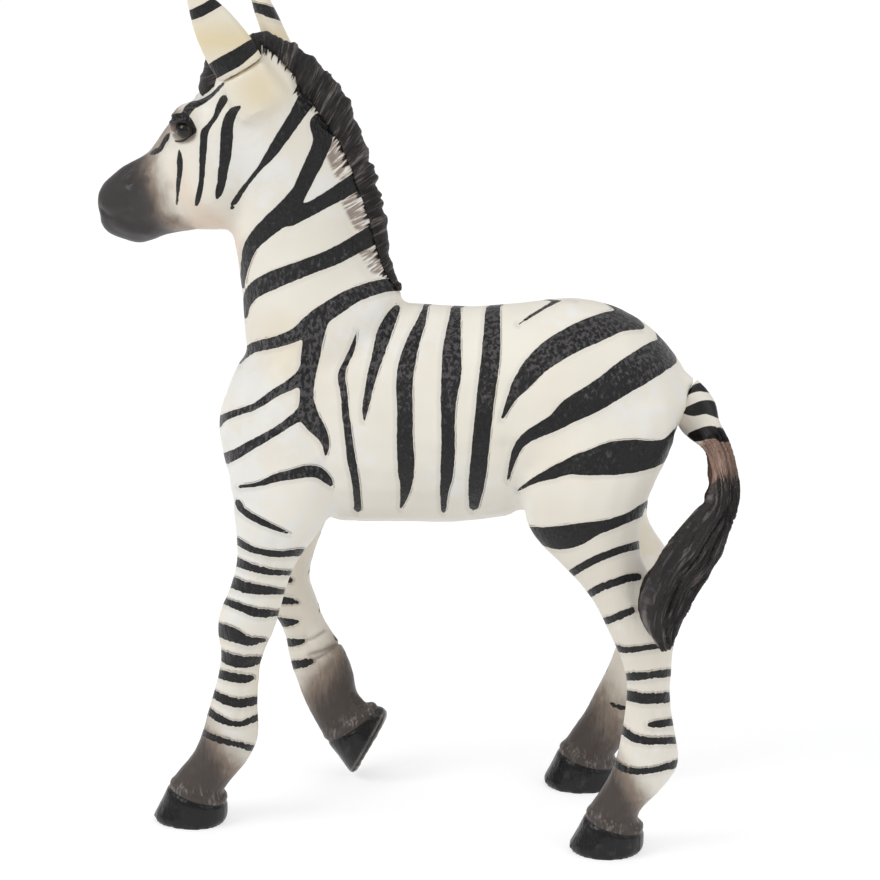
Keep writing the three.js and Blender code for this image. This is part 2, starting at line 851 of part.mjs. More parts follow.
const tailPlace = {
  x: tailRootShares[0] * trunkLength,
  z: bellyHeight + tailRootShares[1] * trunkDepth,
  length: tailReach,
  height: tailLength,
  spread: left * tailSwing,
  half: tailThickness / 2,
};
const tailSections = sectionsOf(tailShares, tailPlace);
const tailSeam = seamAt(tailSections, tailSeamShare);
const tailLoft = solidOf(loft(tailSections, tailRings));
const tailSeat = solidOf(loft(tailSections, { ...tailRings, swell: seamGap }));
const tailUpward = { point: tailSeam.point, normal: tailSeam.normal.clone().negate() };
const tailStub = tailLoft.intersect(blockBeyond(tailUpward, seamGap));
const tailPeg = pegAt(tailSeam, tailPegWidth, tailPegLength, 0);
const tailSocket = pegAt(tailSeam, tailPegWidth, tailPegLength, seamGap);

// Castings

const frontHalf = barrel.add(neckLoft);
const neckPeg = pegAt(neckSeam, neckPegWidth, neckPegLength, 0);
const neckSocket = pegAt(neckSeam, neckPegWidth, neckPegLength, seamGap);

const jaw = turnedSolid(ballAt(headPoint(jawPlaceShares, 0), jawRadius, jawWidth));
const headSolid = joined(turnedSolid(skullLoft), jaw, eyeOn(left), eyeOn(right))
  .subtract(nostrilOn(left))
  .subtract(nostrilOn(right))
  .subtract(mouthCut());

const neckAndHead = joined(
  frontHalf.intersect(blockBeyond(neckSeam, 0)),
  headSolid,
  leftEar.root,
  rightEar.root,
  neckPeg,
)
  .subtract(maneSlot)
  .subtract(leftEar.cut)
  .subtract(rightEar.cut);

const trunk = joined(
  frontHalf,
  leftFore.root,
  rightFore.root,
  leftHind.root,
  rightHind.root,
  tailStub,
)
  .subtract(blockBeyond(neckSeam, -seamGap))
  .subtract(tailSeat.intersect(blockBeyond(tailSeam, -seamGap)))
  .subtract(maneSlot)
  .subtract(neckSocket)
  .subtract(tailSocket)
  .subtract(leftFore.socket)
  .subtract(rightFore.socket)
  .subtract(leftHind.socket)
  .subtract(rightHind.socket);

const tail = tailLoft.intersect(blockBeyond(tailSeam, 0)).add(tailPeg);

const cream = 0xece6dc;
const darkHair = 0x322f2e;
const tailBrown = 0x4a403c;
const satin = 0.42;
const dull = 0.6;

const figure = new THREE.Group();
figure.add(
  meshOf("trunk", trunk, cream, satin),
  meshOf("neck_and_head", neckAndHead, cream, satin),
  meshOf("mane", mane, darkHair, dull),
  meshOf("left_ear", leftEar.blade, cream, satin),
  meshOf("right_ear", rightEar.blade, cream, satin),
  meshOf("tail", tail, tailBrown, dull),
  meshOf("left_foreleg", leftFore.leg, cream, satin),
  meshOf("right_foreleg", rightFore.leg, cream, satin),
  meshOf("left_hind_leg", leftHind.leg, cream, satin),
  meshOf("right_hind_leg", rightHind.leg, cream, satin),
);

// The figure's frame has its origin under the middle of its bounding box.
const bounds = new THREE.Box3().setFromObject(figure);
const centre = bounds.getCenter(new THREE.Vector3());
figure.position.set(-centre.x, -centre.y, -bounds.min.z);

export default figure;
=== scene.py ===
"""Looks of a hand-painted PVC zebra foal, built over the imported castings.

The castings are fused and smoothed, sculpted, painted and parted again at their glue
lines. Sizes are in millimetres until a mesh is made. Places read off the photograph are
its pixels, brought onto the figure through the camera that took it.
"""

import sys
import logging
import math
from collections.abc import Iterable, Iterator
from dataclasses import dataclass, field
from enum import Enum

import bmesh
import bpy
import numpy as np
from mathutils import Matrix, Vector
from mathutils.bvhtree import BVHTree


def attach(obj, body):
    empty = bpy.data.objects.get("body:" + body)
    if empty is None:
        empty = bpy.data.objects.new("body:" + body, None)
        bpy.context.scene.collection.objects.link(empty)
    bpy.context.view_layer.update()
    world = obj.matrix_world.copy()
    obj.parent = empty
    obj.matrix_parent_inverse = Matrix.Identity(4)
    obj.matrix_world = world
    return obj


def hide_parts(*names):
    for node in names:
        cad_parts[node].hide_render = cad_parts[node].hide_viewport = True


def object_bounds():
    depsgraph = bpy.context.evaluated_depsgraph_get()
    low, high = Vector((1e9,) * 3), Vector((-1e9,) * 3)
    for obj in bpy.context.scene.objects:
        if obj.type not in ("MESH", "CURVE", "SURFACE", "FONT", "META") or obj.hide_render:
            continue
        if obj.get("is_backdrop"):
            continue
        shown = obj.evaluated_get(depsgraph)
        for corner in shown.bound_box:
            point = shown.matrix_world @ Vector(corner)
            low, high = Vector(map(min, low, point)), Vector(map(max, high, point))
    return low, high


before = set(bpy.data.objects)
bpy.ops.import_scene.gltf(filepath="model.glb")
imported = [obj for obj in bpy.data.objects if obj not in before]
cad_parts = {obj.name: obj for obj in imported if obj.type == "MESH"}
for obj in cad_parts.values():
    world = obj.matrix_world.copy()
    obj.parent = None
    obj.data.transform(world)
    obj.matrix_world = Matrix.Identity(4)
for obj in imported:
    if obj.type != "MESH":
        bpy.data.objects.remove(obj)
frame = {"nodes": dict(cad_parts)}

METRES = 0.001
LOG = logging.getLogger("foal")


# Camera


@dataclass(frozen=True)
class Viewpoint:
    """The camera that took the photograph, in millimetres and pixels."""

    azimuth: float = 8.0
    elevation: float = 18.0
    distance: float = 600.0
    focal: float = 6000.0
    frame: int = 880
    sensor: float = 36.0
    clip: tuple[float, float] = (0.02, 20.0)  # metres
    aim: tuple[float, float, float] = (1.19, 1.26, 40.5)
    aim_pixel: tuple[float, float] = (430.0, 430.0)

    def axes(self) -> tuple[np.ndarray, np.ndarray, np.ndarray]:
        """Returns the camera's right, up and back directions."""
        a, e = math.radians(self.azimuth), math.radians(self.elevation)
        back = np.array([math.sin(a) * math.cos(e), -math.cos(a) * math.cos(e), math.sin(e)])
        right = np.array([math.cos(a), math.sin(a), 0.0])
        return right, np.cross(back, right), back

    def place(self) -> np.ndarray:
        """Returns where the lens is."""
        return np.array(self.aim) + self.axes()[2] * self.distance

    def project(self, points: np.ndarray) -> np.ndarray:
        """Brings points of the figure into the photograph.

        Args:
            points: places on the figure, one per row.

        Returns:
            Their pixels, one pair per row.
        """
        right, up, back = self.axes()
        reach = points - self.place()
        depth = -(reach @ back)
        across = self.aim_pixel[0] + self.focal * (reach @ right) / depth
        down = self.aim_pixel[1] - self.focal * (reach @ up) / depth
        return np.stack([across, down], 1)

    def build(self) -> bpy.types.Object:
        """Makes the Blender camera, and makes it the scene's.

        Returns:
            The camera object.
        """
        right, up, back = self.axes()
        data = bpy.data.cameras.new("photo_camera")
        data.sensor_width = self.sensor
        data.lens = self.sensor * self.focal / self.frame
        data.shift_x = (self.frame / 2 - self.aim_pixel[0]) / self.frame
        data.shift_y = -(self.frame / 2 - self.aim_pixel[1]) / self.frame
        data.clip_start, data.clip_end = self.clip
        camera = bpy.data.objects.new("photo_camera", data)
        turn = Matrix((right, up, back)).transposed().to_4x4()
        camera.matrix_world = Matrix.Translation(Vector(self.place() * METRES)) @ turn
        bpy.context.scene.collection.objects.link(camera)
        bpy.context.scene.camera = camera
        return camera


PHOTO = Viewpoint()
MIDDLE = PHOTO.aim[1]
POLL = np.array([-13.4, MIDDLE, 77.4])
HEAD_TURN = math.radians(12)
HEAD_SIDE = np.array([math.sin(HEAD_TURN), math.cos(HEAD_TURN), 0.0])
HEAD_AHEAD = np.array([-math.cos(HEAD_TURN), math.sin(HEAD_TURN), 0.0])
UPPER_RIGHT = np.array([0.8, -0.6])
GRAIN_KEYS = tuple(np.uint64(key) for key in (73856093, 19349663, 83492791, 1274126177))
GRAIN_HALF = 32767.5  # half of the largest 16-bit number
TINY = 1e-9
MIX_INPUTS = (0, 6, 7)  # share, first and second colour of a Mix node
MIX_OUTPUT = 2
SIDEWAYS = (0.0, 1.0, 0.0)


# Small tools


def eased(values: np.ndarray, start: float, end: float) -> np.ndarray:
    """Rises smoothly from 0 at start to 1 at end.

    Args:
        values: what to ease.
        start: where it is 0.
        end: where it is 1, above or below start.

    Returns:
        The eased values.
    """
    t = np.clip((values - start) / (end - start), 0, 1)
    return t * t * (3 - 2 * t)


def bell(values: np.ndarray, middle: float, width: float) -> np.ndarray:
    """Returns 1 where values are at the middle, fading out over a width."""
    return np.exp(-(((values - middle) / width) ** 2))


def grain(points: np.ndarray, size: float, seed: int) -> np.ndarray:
    """Smooth noise from -1 to 1 over space.

    Args:
        points: where to read it, one per row.
        size: distance between its knots.
        seed: chooses the pattern.

    Returns:
        One value for each point.
    """
    scaled = points / size + seed * 17.31
    cell = np.floor(scaled).astype(np.int64)
    part = scaled - cell
    part = part * part * (3 - 2 * part)
    total = np.zeros(len(points))
    for corner in np.ndindex(2, 2, 2):
        at = (cell + corner).astype(np.uint64)
        mixed = at[:, 0] * GRAIN_KEYS[0] ^ at[:, 1] * GRAIN_KEYS[1] ^ at[:, 2] * GRAIN_KEYS[2]
        mixed = (mixed ^ (mixed >> np.uint64(13))) * GRAIN_KEYS[3]
        value = ((mixed >> np.uint64(16)) & np.uint64(0xFFFF)).astype(float) / GRAIN_HALF - 1
        weight = np.prod(np.where(np.array(corner) == 1, part, 1 - part), axis=1)
        total += value * weight
    return total


def smooth_run(knots: np.ndarray, steps: int = 5) -> np.ndarray:
    """Draws a smooth run through knots.

    Args:
        knots: the rows to pass through.
        steps: rows from one knot to the next.

    Returns:
        The denser rows, the ends included.
    """
    if len(knots) < 3:
        return knots
    padded = np.vstack([2 * knots[0] - knots[1], knots, 2 * knots[-1] - knots[-2]])
    t = (np.arange(steps) / steps)[:, None]
    rows = []
    for a, b, c, d in zip(padded, padded[1:], padded[2:], padded[3:]):
        bend, twist = 2 * a - 5 * b + 4 * c - d, 3 * b - a - 3 * c + d
        rows.append(0.5 * (2 * b + (c - a) * t + bend * t**2 + twist * t**3))
    return np.vstack([*rows, knots[-1:]])


def stretches(places: np.ndarray, run: np.ndarray, ends: tuple[float, float] = (0.0, 1.0)) -> Iterator[tuple]:
    """Measures places against each straight stretch of a run.

    Args:
        places: what to measure, one per row.
        run: the knots, one per row.
        ends: how far along the first and the last stretch a place may count.

    Yields:
        The stretch's number and vector, and for each place its share along it, its offset from
        it and its distance.
    """
    last = len(run) - 2
    for k, (a, b) in enumerate(zip(run, run[1:])):
        along = b - a
        share = ((places - a) @ along) / max(along @ along, TINY)
        share = np.clip(share, ends[0] if k == 0 else 0.0, ends[1] if k == last else 1.0)
        rest = places - a - share[:, None] * along
        yield k, along, share, rest, np.linalg.norm(rest, axis=1)


def distance_to(pixels: np.ndarray, run: np.ndarray, margin: float) -> tuple[np.ndarray, np.ndarray]:
    """Signed distance from pixels to a stroke of changing width.

    Args:
        pixels: places in the photograph.
        run: rows of across, down and half width along the stroke.
        margin: how far from the stroke it is worked out.

    Returns:
        Pixels to the stroke's edge, below 0 inside, and margin where it is far off, then how
        far each pixel lies on the upper right of the stroke, from -1 to 1.
    """
    result = np.full(len(pixels), margin)
    aside = np.zeros(len(pixels))
    reach = margin + run[:, 2].max()
    low, high = run[:, :2].min(0) - reach, run[:, :2].max(0) + reach
    near = np.flatnonzero(((pixels > low) & (pixels < high)).all(1))
    if len(near) == 0:
        return result, aside
    best = np.full(len(near), margin)
    side = np.zeros(len(near))
    widths = run[:, 2]
    for k, _, share, rest, length in stretches(pixels[near], run[:, :2]):
        gap = length - (widths[k] + share * (widths[k + 1] - widths[k]))
        better = gap < best
        best = np.where(better, gap, best)
        side = np.where(better, rest @ UPPER_RIGHT / np.maximum(length, TINY), side)
    result[near], aside[near] = best, side
    return result, aside


def pointed(run: np.ndarray, tip: float) -> np.ndarray:
    """Lets a stroke run out in points, each as long as tip times its half width there."""
    lead, trail = run[0, :2] - run[1, :2], run[-1, :2] - run[-2, :2]
    first = run[0, :2] + lead / max(np.linalg.norm(lead), TINY) * run[0, 2] * tip
    last = run[-1, :2] + trail / max(np.linalg.norm(trail), TINY) * run[-1, 2] * tip
    return np.vstack([[*first, 0.3], run, [*last, 0.3]])


def side_of(pixels: np.ndarray, run: np.ndarray, margin: float) -> tuple[np.ndarray, np.ndarray]:
    """Where pixels lie along and beside a line.

    Args:
        pixels: places in the photograph.
        run: rows of across and down along the line.
        margin: the most that the distance beside it may be.

    Returns:
        The distance beside it, above 0 on its left as it runs, and the distance along it.
    """
    best = np.full(len(pixels), np.inf)
    sign = np.ones(len(pixels))
    passed = np.zeros(len(pixels))
    length = 0.0
    for _, along, share, rest, gap in stretches(pixels, run[:, :2]):
        turn = along[0] * rest[:, 1] - along[1] * rest[:, 0]
        better = gap < best
        best = np.where(better, gap, best)
        sign = np.where(better, np.where(turn < 0, 1.0, -1.0), sign)
        passed = np.where(better, length + share * np.linalg.norm(along), passed)
        length += np.linalg.norm(along)
    return np.clip(best * sign, -margin, margin), passed


def line_of(places: Iterable[tuple[float, float]]) -> np.ndarray:
    """Returns a smooth line through some pixels."""
    return smooth_run(np.array([(x, y, 0.0) for x, y in places]))


# Wiring of node trees


class Wire:
    """A node socket that adds and multiplies like a number."""

    def __init__(self, sheet: "Sheet", socket: bpy.types.NodeSocket) -> None:
        """Keeps the socket and the sheet that it is on."""
        self.sheet = sheet
        self.socket = socket

    def __add__(self, other: "Wire | float") -> "Wire":
        """Returns self plus other."""
        return self.sheet.sum("ADD", self, other)

    __radd__ = __add__

    def __sub__(self, other: "Wire | float") -> "Wire":
        """Returns self less other."""
        return self.sheet.sum("SUBTRACT", self, other)

    def __rsub__(self, other: float) -> "Wire":
        """Returns other less self."""
        return self.sheet.sum("SUBTRACT", other, self)

    def __mul__(self, other: "Wire | float") -> "Wire":
        """Returns self times other."""
        return self.sheet.sum("MULTIPLY", self, other)

    __rmul__ = __mul__

    def __truediv__(self, other: "Wire | float") -> "Wire":
        """Returns self over other."""
        return self.sheet.sum("DIVIDE", self, other)

    def step(self, start: float, end: float) -> "Wire":
        """Returns a smooth rise from 0 at start to 1 at end, where end may be lower."""
        low, high = (start, end) if start < end else (end, start)
        rise = self.sheet.node(
            "ShaderNodeMapRange", {"interpolation_type": "SMOOTHSTEP"},
            {"Value": self, "From Min": low, "From Max": high},
        )
        made = Wire(self.sheet, rise.outputs["Result"])
        return made if start < end else 1 - made


class Sheet:
    """Adds nodes to one node tree."""

    def __init__(self, tree: bpy.types.NodeTree) -> None:
        """Keeps the tree."""
        self.tree = tree

    def node(self, kind: str, settings: dict | None = None, inputs: dict | None = None) -> bpy.types.Node:
        """Adds a node, sets it and wires it up.

        Args:
            kind: the node's type.
            settings: its own settings.
            inputs: values, wires or sockets by the name or number of the input.

        Returns:
            The node.
        """
        made = self.tree.nodes.new(kind)
        for name, value in (settings or {}).items():
            setattr(made, name, value)
        for name, value in (inputs or {}).items():
            self.join(value, made.inputs[name])
        return made

    def join(self, value: object, socket: bpy.types.NodeSocket) -> None:
        """Gives an input a wire, a socket or a plain value."""
        if isinstance(value, Wire):
            value = value.socket
        if isinstance(value, bpy.types.NodeSocket):
            self.tree.links.new(value, socket)
        else:
            socket.default_value = value

    def wire(
        self, kind: str, output: str | int, settings: dict | None = None, inputs: dict | None = None
    ) -> Wire:
        """Adds a node and returns one of its outputs."""
        return Wire(self, self.node(kind, settings, inputs).outputs[output])

    def sum(self, operation: str, first: "Wire | float", second: "Wire | float") -> Wire:
        """Returns a Math node's result."""
        return self.wire("ShaderNodeMath", 0, {"operation": operation}, {0: first, 1: second})

    def vector(self, operation: str, first: "Wire | tuple", second: "Wire | tuple | None" = None) -> Wire:
        """Returns a Vector Math node's vector."""
        inputs = {0: first} if second is None else {0: first, 1: second}
        return self.wire("ShaderNodeVectorMath", 0, {"operation": operation}, inputs)

    def scaled(self, vector: Wire, factor: "Wire | float") -> Wire:
        """Returns a vector times a number."""
        return self.wire("ShaderNodeVectorMath", 0, {"operation": "SCALE"}, {0: vector, "Scale": factor})

    def mix(self, share: "Wire | float", first: "Wire | tuple", second: "Wire | tuple") -> Wire:
        """Mixes two colours: the first at share 0, the second at share 1."""
        made = self.node("ShaderNodeMix", {"data_type": "RGBA", "clamp_factor": True})
        for number, value in zip(MIX_INPUTS, (share, first, second)):
            self.join((*value, 1) if isinstance(value, tuple) else value, made.inputs[number])
        return Wire(self, made.outputs[MIX_OUTPUT])

    def layered(self, colour: Wire, *layers: tuple["Wire | float", "Wire | tuple"]) -> Wire:
        """Lays colours over a colour, in order.

        Args:
            colour: the lowest colour.
            layers: each a share and the colour that it lays on.

        Returns:
            The colour that shows.
        """
        for share, tint in layers:
            colour = self.mix(share, colour, tint)
        return colour

    def field(self, name: str, output: str = "Fac") -> Wire:
        """Returns what a mesh attribute holds."""
        return self.wire("ShaderNodeAttribute", output, {"attribute_name": name})

    def noise(self, where: Wire, scale: float, detail: float = 2.0, rough: float = 0.5) -> Wire:
        """Returns noise about 0, from -0.5 to 0.5."""
        inputs = {"Vector": where, "Scale": scale, "Detail": detail, "Roughness": rough}
        return self.wire("ShaderNodeTexNoise", "Fac", None, inputs) - 0.5

    def drawn(self, where: Wire, stretch: tuple, scale: float, detail: float, rough: float = 0.5) -> Wire:
        """Returns noise about 0 that is drawn out along some axes."""
        return self.noise(self.vector("MULTIPLY", where, stretch), scale, detail, rough)

    def painted(self, inputs: dict, height: Wire | None = None) -> None:
        """Ends a material.

        Args:
            inputs: the surface's inputs.
            height: its relief in millimetres.
        """
        if height is not None:
            relief = {"Strength": 1.0, "Distance": METRES, "Height": height}
            inputs = inputs | {"Normal": self.wire("ShaderNodeBump", "Normal", None, relief)}
        surface = self.node("ShaderNodeBsdfPrincipled", None, inputs)
        self.node("ShaderNodeOutputMaterial", None, {"Surface": surface.outputs[0]})

    def rays(self, *kinds: str) -> Wire:
        """Tells rays of some kinds from others.

        Args:
            kinds: names of the Light Path node's outputs.

        Returns:
            1 for rays of these kinds and 0 for others.
        """
        path = self.node("ShaderNodeLightPath")
        found = Wire(self, path.outputs[kinds[0]])
        for kind in kinds[1:]:
            found = self.sum("MAXIMUM", found, Wire(self, path.outputs[kind]))
        return found


def fresh(owner: bpy.types.Material | bpy.types.World) -> Sheet:
    """Clears the nodes of a material or world and returns a sheet for them."""
    owner.use_nodes = True
    owner.node_tree.nodes.clear()
    return Sheet(owner.node_tree)


# Finishes


def linear(red: int, green: int, blue: int) -> tuple[float, float, float]:
    """Turns a colour as seen, from 0 to 255, into Blender's linear values."""
    def part(value: float) -> float:
        """Returns one channel in linear light."""
        value /= 255
        return value / 12.92 if value <= 0.04045 else ((value + 0.055) / 1.055) ** 2.4

    return part(red), part(green), part(blue)


@dataclass(frozen=True)
class FigurePaint:
    """Satin cream paint over PVC, with engraved black stripes and shaded legs and muzzle."""

    cream: tuple = linear(250, 244, 231)
    shade: tuple = linear(235, 227, 213)
    cool: tuple = linear(243, 243, 240)
    warm: tuple = linear(236, 218, 176)
    pink: tuple = linear(230, 204, 180)
    ink: tuple = linear(13, 11, 10)
    # painted sheen: a lighter grey for specks of highlight on the black paint
    ink_sheen: tuple = linear(98, 94, 95)
    # the next two are painted shade: a dark line in the groove beside the stripes, and a soft shadow beside
    # their lower left
    engraved: tuple = linear(116, 102, 92)
    shadow: tuple = linear(194, 188, 180)
    brown: tuple = linear(148, 132, 118)
    russet: tuple = linear(120, 92, 76)
    umber: tuple = linear(74, 65, 60)
    charcoal: tuple = linear(55, 50, 50)
    pale: tuple = linear(158, 152, 147)
    hoof: tuple = linear(12, 11, 13)
    rough: float = 0.4
    hoof_rough: float = 0.24
    index: float = 1.42
    sunk: float = 0.13  # depth of the engraved stripes, in millimetres

    def material(self) -> bpy.types.Material:
        """Builds the material.

        Returns:
            The painted material. It reads the attributes that the castings carry.
        """
        made = bpy.data.materials.new("figure_paint")
        sheet = fresh(made)
        where = sheet.wire("ShaderNodeTexCoord", "Object")
        names = ("stripe", "charcoal_and_shade", "hoof", "warm", "fringe", "aside", "furred", "crease")
        stripe, charcoal_and_shade, hoof, warmth, fringe, aside, furred, crease = (sheet.field(name) for name in names)
        strand = sheet.field("strand", "Vector")
        # where this is high, the stripes get more chisel relief and more painted sheen
        chisel_and_sheen = 0.5 + sheet.field("chisel_and_sheen")
        # This adds the muzzle's charcoal paint, and the painted shade round the eyes and deep in the ear
        # cups, to the leg shading.
        shaded = sheet.field("sock") + charcoal_and_shade

        cloud = sheet.noise(where, 55, 3)
        fine = sheet.noise(where, 900, 2)
        ragged = sheet.noise(where, 620, 2, 0.6)
        jagged = sheet.noise(where, 2300, 2, 0.5)
        chisel = sheet.drawn(where, (1.0, 1.0, 0.6), 2800, 3, 0.6)
        strands = sheet.drawn(strand, (1.0, 0.12, 0.0), 4.2, 2, 0.55)
        clumps = sheet.drawn(strand, (1.0, 0.1, 0.0), 1.3, 1)
        fur = sheet.drawn(where, (1.0, 1.0, 0.16), 3200, 2, 0.6)

        hoof_mask = (hoof + ragged * 0.2).step(-0.06, 0.1)
        edge = stripe + ragged * 0.18 + jagged * 0.08 + fur * furred * 0.4
        inked = edge.step(0.03, -0.03)
        hairy = (fringe + strands * 2.6 + clumps * 2.6).step(-0.12, 0.15)
        tawny = sheet.field("tawny").step(0.1, 0.6) * (strands * 3 + clumps + 0.7).step(0.25, 0.8)
        # Painted shade round the stripes: a dark line in the groove on their upper right, a soft painted
        # shadow beside their lower left, and on the legs a painted shade on the upper side of each band.
        wander = edge + cloud * 0.24
        right = aside.step(0.1, 0.5)
        line = wander.step(0.08, 0.12) * wander.step(0.21, 0.16) * right
        line = line * (cloud + ragged * 0.8).step(-0.06, 0.08)
        under = edge.step(0.0, 0.12) * edge.step(0.6, 0.2) * aside.step(0.2, -0.6)
        painted_band_shade = edge.step(0.0, 0.05) * edge.step(0.34, 0.08) * right * furred
        tone = (shaded * (1 + fine * 0.5) + (cloud + fur * 1.2) * 0.25 * shaded).step(0.03, 0.6)
        near_hoof = hoof.step(-2.2, -0.5) * (1 - hoof_mask)
        # Painted sheen on the black paint: specks of highlight from the chisel marks, more on faces that look
        # up, with some random tone.
        ink_sheen_share = chisel * chisel_and_sheen * 2.4 + cloud * 0.3 + fur * furred + chisel_and_sheen * 0.34 - 0.14
        ink_sheen_share = ink_sheen_share.step(0.12, 0.6)

        colour = sheet.layered(
            sheet.mix((cloud + 0.5).step(0.25, 0.75), self.shade, self.cream),
            ((ragged * 0.5 + sheet.noise(where, 90, 2)).step(0.0, 0.2) * 0.7, self.cool),
            (warmth * (0.8 + cloud), self.warm),
            (sheet.field("blush"), self.pink),
            # painted shadow, painted shade in the groove, and painted shade above the leg bands
            (under * 0.3, self.shadow),
            (line * 0.5, self.engraved),
            (painted_band_shade * 0.55, self.brown),
            (tawny * 0.8, self.russet),
            (tone, self.brown),
            ((shaded + fine * 0.15 + fur * 0.3).step(0.42, 0.95), self.umber),
            (charcoal_and_shade.step(0.6, 1.0), self.charcoal),
            # painted darker in the creases: partly a wash, partly painted shade
            (crease * 0.4, self.umber),
            (fur.step(0.03, 0.16) * near_hoof * 0.45, self.pale),
            (sheet.sum("MAXIMUM", inked, hairy), sheet.mix(ink_sheen_share * 0.75, self.ink, self.ink_sheen)),
            (hoof_mask, sheet.mix((fine + 0.5).step(0.5, 0.9) * 0.3, self.hoof, self.ink_sheen)),
            # painted highlight lines along the lifted hoof's rim
            (sheet.field("rim") * (0.6 + fine), self.pale),
        )
        height = inked * -self.sunk + inked * chisel * chisel_and_sheen * 0.5 + fine * 0.008 - line * 0.04
        height = height + fur * 0.07 * furred + strands * 0.14 * hairy + sheet.noise(where, 260, 3) * 0.03
        rough = self.rough + fine * 0.1 + (chisel * 0.2 - 0.08) * inked
        rough = rough - hoof_mask * (self.rough - self.hoof_rough)
        sheet.painted({"Base Color": colour, "Roughness": rough, "IOR": self.index}, height)
        return made


@dataclass(frozen=True)
class HairPaint:
    """Near-black paint over moulded hair, with a brown start."""

    name: str
    brown: tuple
    dark: tuple = linear(33, 28, 27)
    # painted highlight on the strands
    high: tuple = linear(134, 124, 119)
    cream: tuple = linear(240, 233, 220)
    ink: tuple = linear(24, 21, 19)
    rough: float = 0.42
    index: float = 1.42

    def material(self) -> bpy.types.Material:
        """Builds the material.

        Returns:
            The hair's material. Strands follow the strand attribute, across and along.
        """
        made = bpy.data.materials.new(self.name)
        sheet = fresh(made)
        where = sheet.wire("ShaderNodeTexCoord", "Object")
        strand = sheet.field("strand", "Vector")
        banded = sheet.field("banded")
        locks = sheet.drawn(strand, (1.0, 0.1, 0.0), 1.6, 1)
        strands = sheet.drawn(strand, (1.0, 0.07, 0.0), 5.5, 3, 0.6)
        cloud = sheet.noise(where, 160, 2)
        ragged = sheet.noise(where, 620, 2, 0.6)
        # painted highlights along the strands and locks
        lit = (strands * 1.3 + locks * 0.8 + 0.5).step(0.5, 0.86)
        tawny = (sheet.field("tawny") + strands * 1.4 + cloud * 0.4).step(0.3, 0.7)
        inked = (sheet.field("stripe") + ragged * 0.22).step(0.04, -0.04)
        colour = sheet.layered(
            sheet.mix(lit * 0.85, self.dark, self.high),
            ((banded + strands * 2.0 + ragged * 0.3).step(-0.12, 0.12), self.cream),
            (tawny * (0.65 + lit * 0.35), self.brown),
            (inked, self.ink),
        )
        hairy = 1 - banded.step(-0.2, 0.2)
        height = strands * 0.5 * hairy + locks * 0.25 * hairy + inked * ragged * 0.2
        rough = self.rough + strands * 0.2
        sheet.painted({"Base Color": colour, "Roughness": rough, "IOR": self.index}, height)
        return made


@dataclass(frozen=True)
class EyeGloss:
    """Varnished near-black eye with a dark brown iris."""

    pupil: tuple = linear(9, 8, 8)
    iris: tuple = linear(30, 22, 18)
    glint: tuple = linear(240, 240, 240)

    def material(self) -> bpy.types.Material:
        """Builds the material.

        Returns:
            The eye's material.
        """
        made = bpy.data.materials.new("eye_gloss")
        sheet = fresh(made)
        where = sheet.wire("ShaderNodeTexCoord", "Object")
        ring = sheet.field("iris") + sheet.noise(where, 1500, 2) * 0.2
        colour = sheet.mix(ring.step(0.35, 0.6), self.pupil, self.iris)
        colour = sheet.mix(sheet.field("glint"), colour, self.glint)
        rough = 0.14 + sheet.noise(where, 900, 2) * 0.05
        varnish = {"Coat Weight": 0.2, "Coat Roughness": 0.03, "IOR": 1.34}
        sheet.painted({"Base Color": colour, "Roughness": rough} | varnish)
        return made


# Meshes and objects


def linked(name: str, data: bpy.types.ID) -> bpy.types.Object:
    """Puts a new object into the scene."""
    made = bpy.data.objects.new(name, data)
    bpy.context.scene.collection.objects.link(made)
    return made


def worked(holder: bpy.types.Object) -> bpy.types.Mesh:
    """Returns an object's mesh as its modifiers leave it, and removes the object and its own mesh."""
    mesh = holder.data
    made = bpy.data.meshes.new_from_object(holder.evaluated_get(bpy.context.evaluated_depsgraph_get()))
    bpy.data.objects.remove(holder)
    bpy.data.meshes.remove(mesh)
    return made


def with_modifier(mesh: bpy.types.Mesh, kind: str, **settings: object) -> bpy.types.Mesh:
    """Runs one modifier over a mesh.

    Args:
        mesh: the mesh, which is used up.
        kind: the modifier's type.
        settings: its settings.

    Returns:
        The plain mesh that comes out.
    """
    holder = linked("holder", mesh)
    modifier = holder.modifiers.new("work", kind)
    for name, value in settings.items():
        setattr(modifier, name, value)
    return worked(holder)


def store(mesh: bpy.types.Mesh, name: str, values: np.ndarray) -> None:
    """Keeps one number or one vector for each vertex as an attribute."""
    kind, key = ("FLOAT_VECTOR", "vector") if values.ndim == 2 else ("FLOAT", "value")
    mesh.attributes.new(name, kind, "POINT").data.foreach_set(key, values.astype(np.float32).ravel())


def piece_of(
    mesh: bpy.types.Mesh, name: str, node: str | None, paint: bpy.types.Material
) -> bpy.types.Object:
    """Makes a finished piece of a mesh, sets it on the root body and hides the CAD node that it stands for.

    Args:
        mesh: what it is made of.
        name: its name.
        node: the CAD node that it stands for, or None.
        paint: its material.

    Returns:
        The piece.
    """
    mesh.materials.append(paint)
    piece = linked(name, mesh)
    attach(piece, "root")
    if node:
        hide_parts(node)
    return piece


def tree_of(node: str) -> BVHTree:
    """Returns a search tree over a CAD node, in metres."""
    mesh = frame["nodes"][node].data
    return BVHTree.FromPolygons([v.co for v in mesh.vertices], [tuple(p.vertices) for p in mesh.polygons])


def neighbour_mean(edges: np.ndarray, values: np.ndarray) -> np.ndarray:
    """Returns the mean over each vertex's neighbours."""
    size = len(values)
    total = np.bincount(edges[:, 0], values[edges[:, 1]], minlength=size)
    total += np.bincount(edges[:, 1], values[edges[:, 0]], minlength=size)
    return total / np.bincount(edges.ravel(), minlength=size)


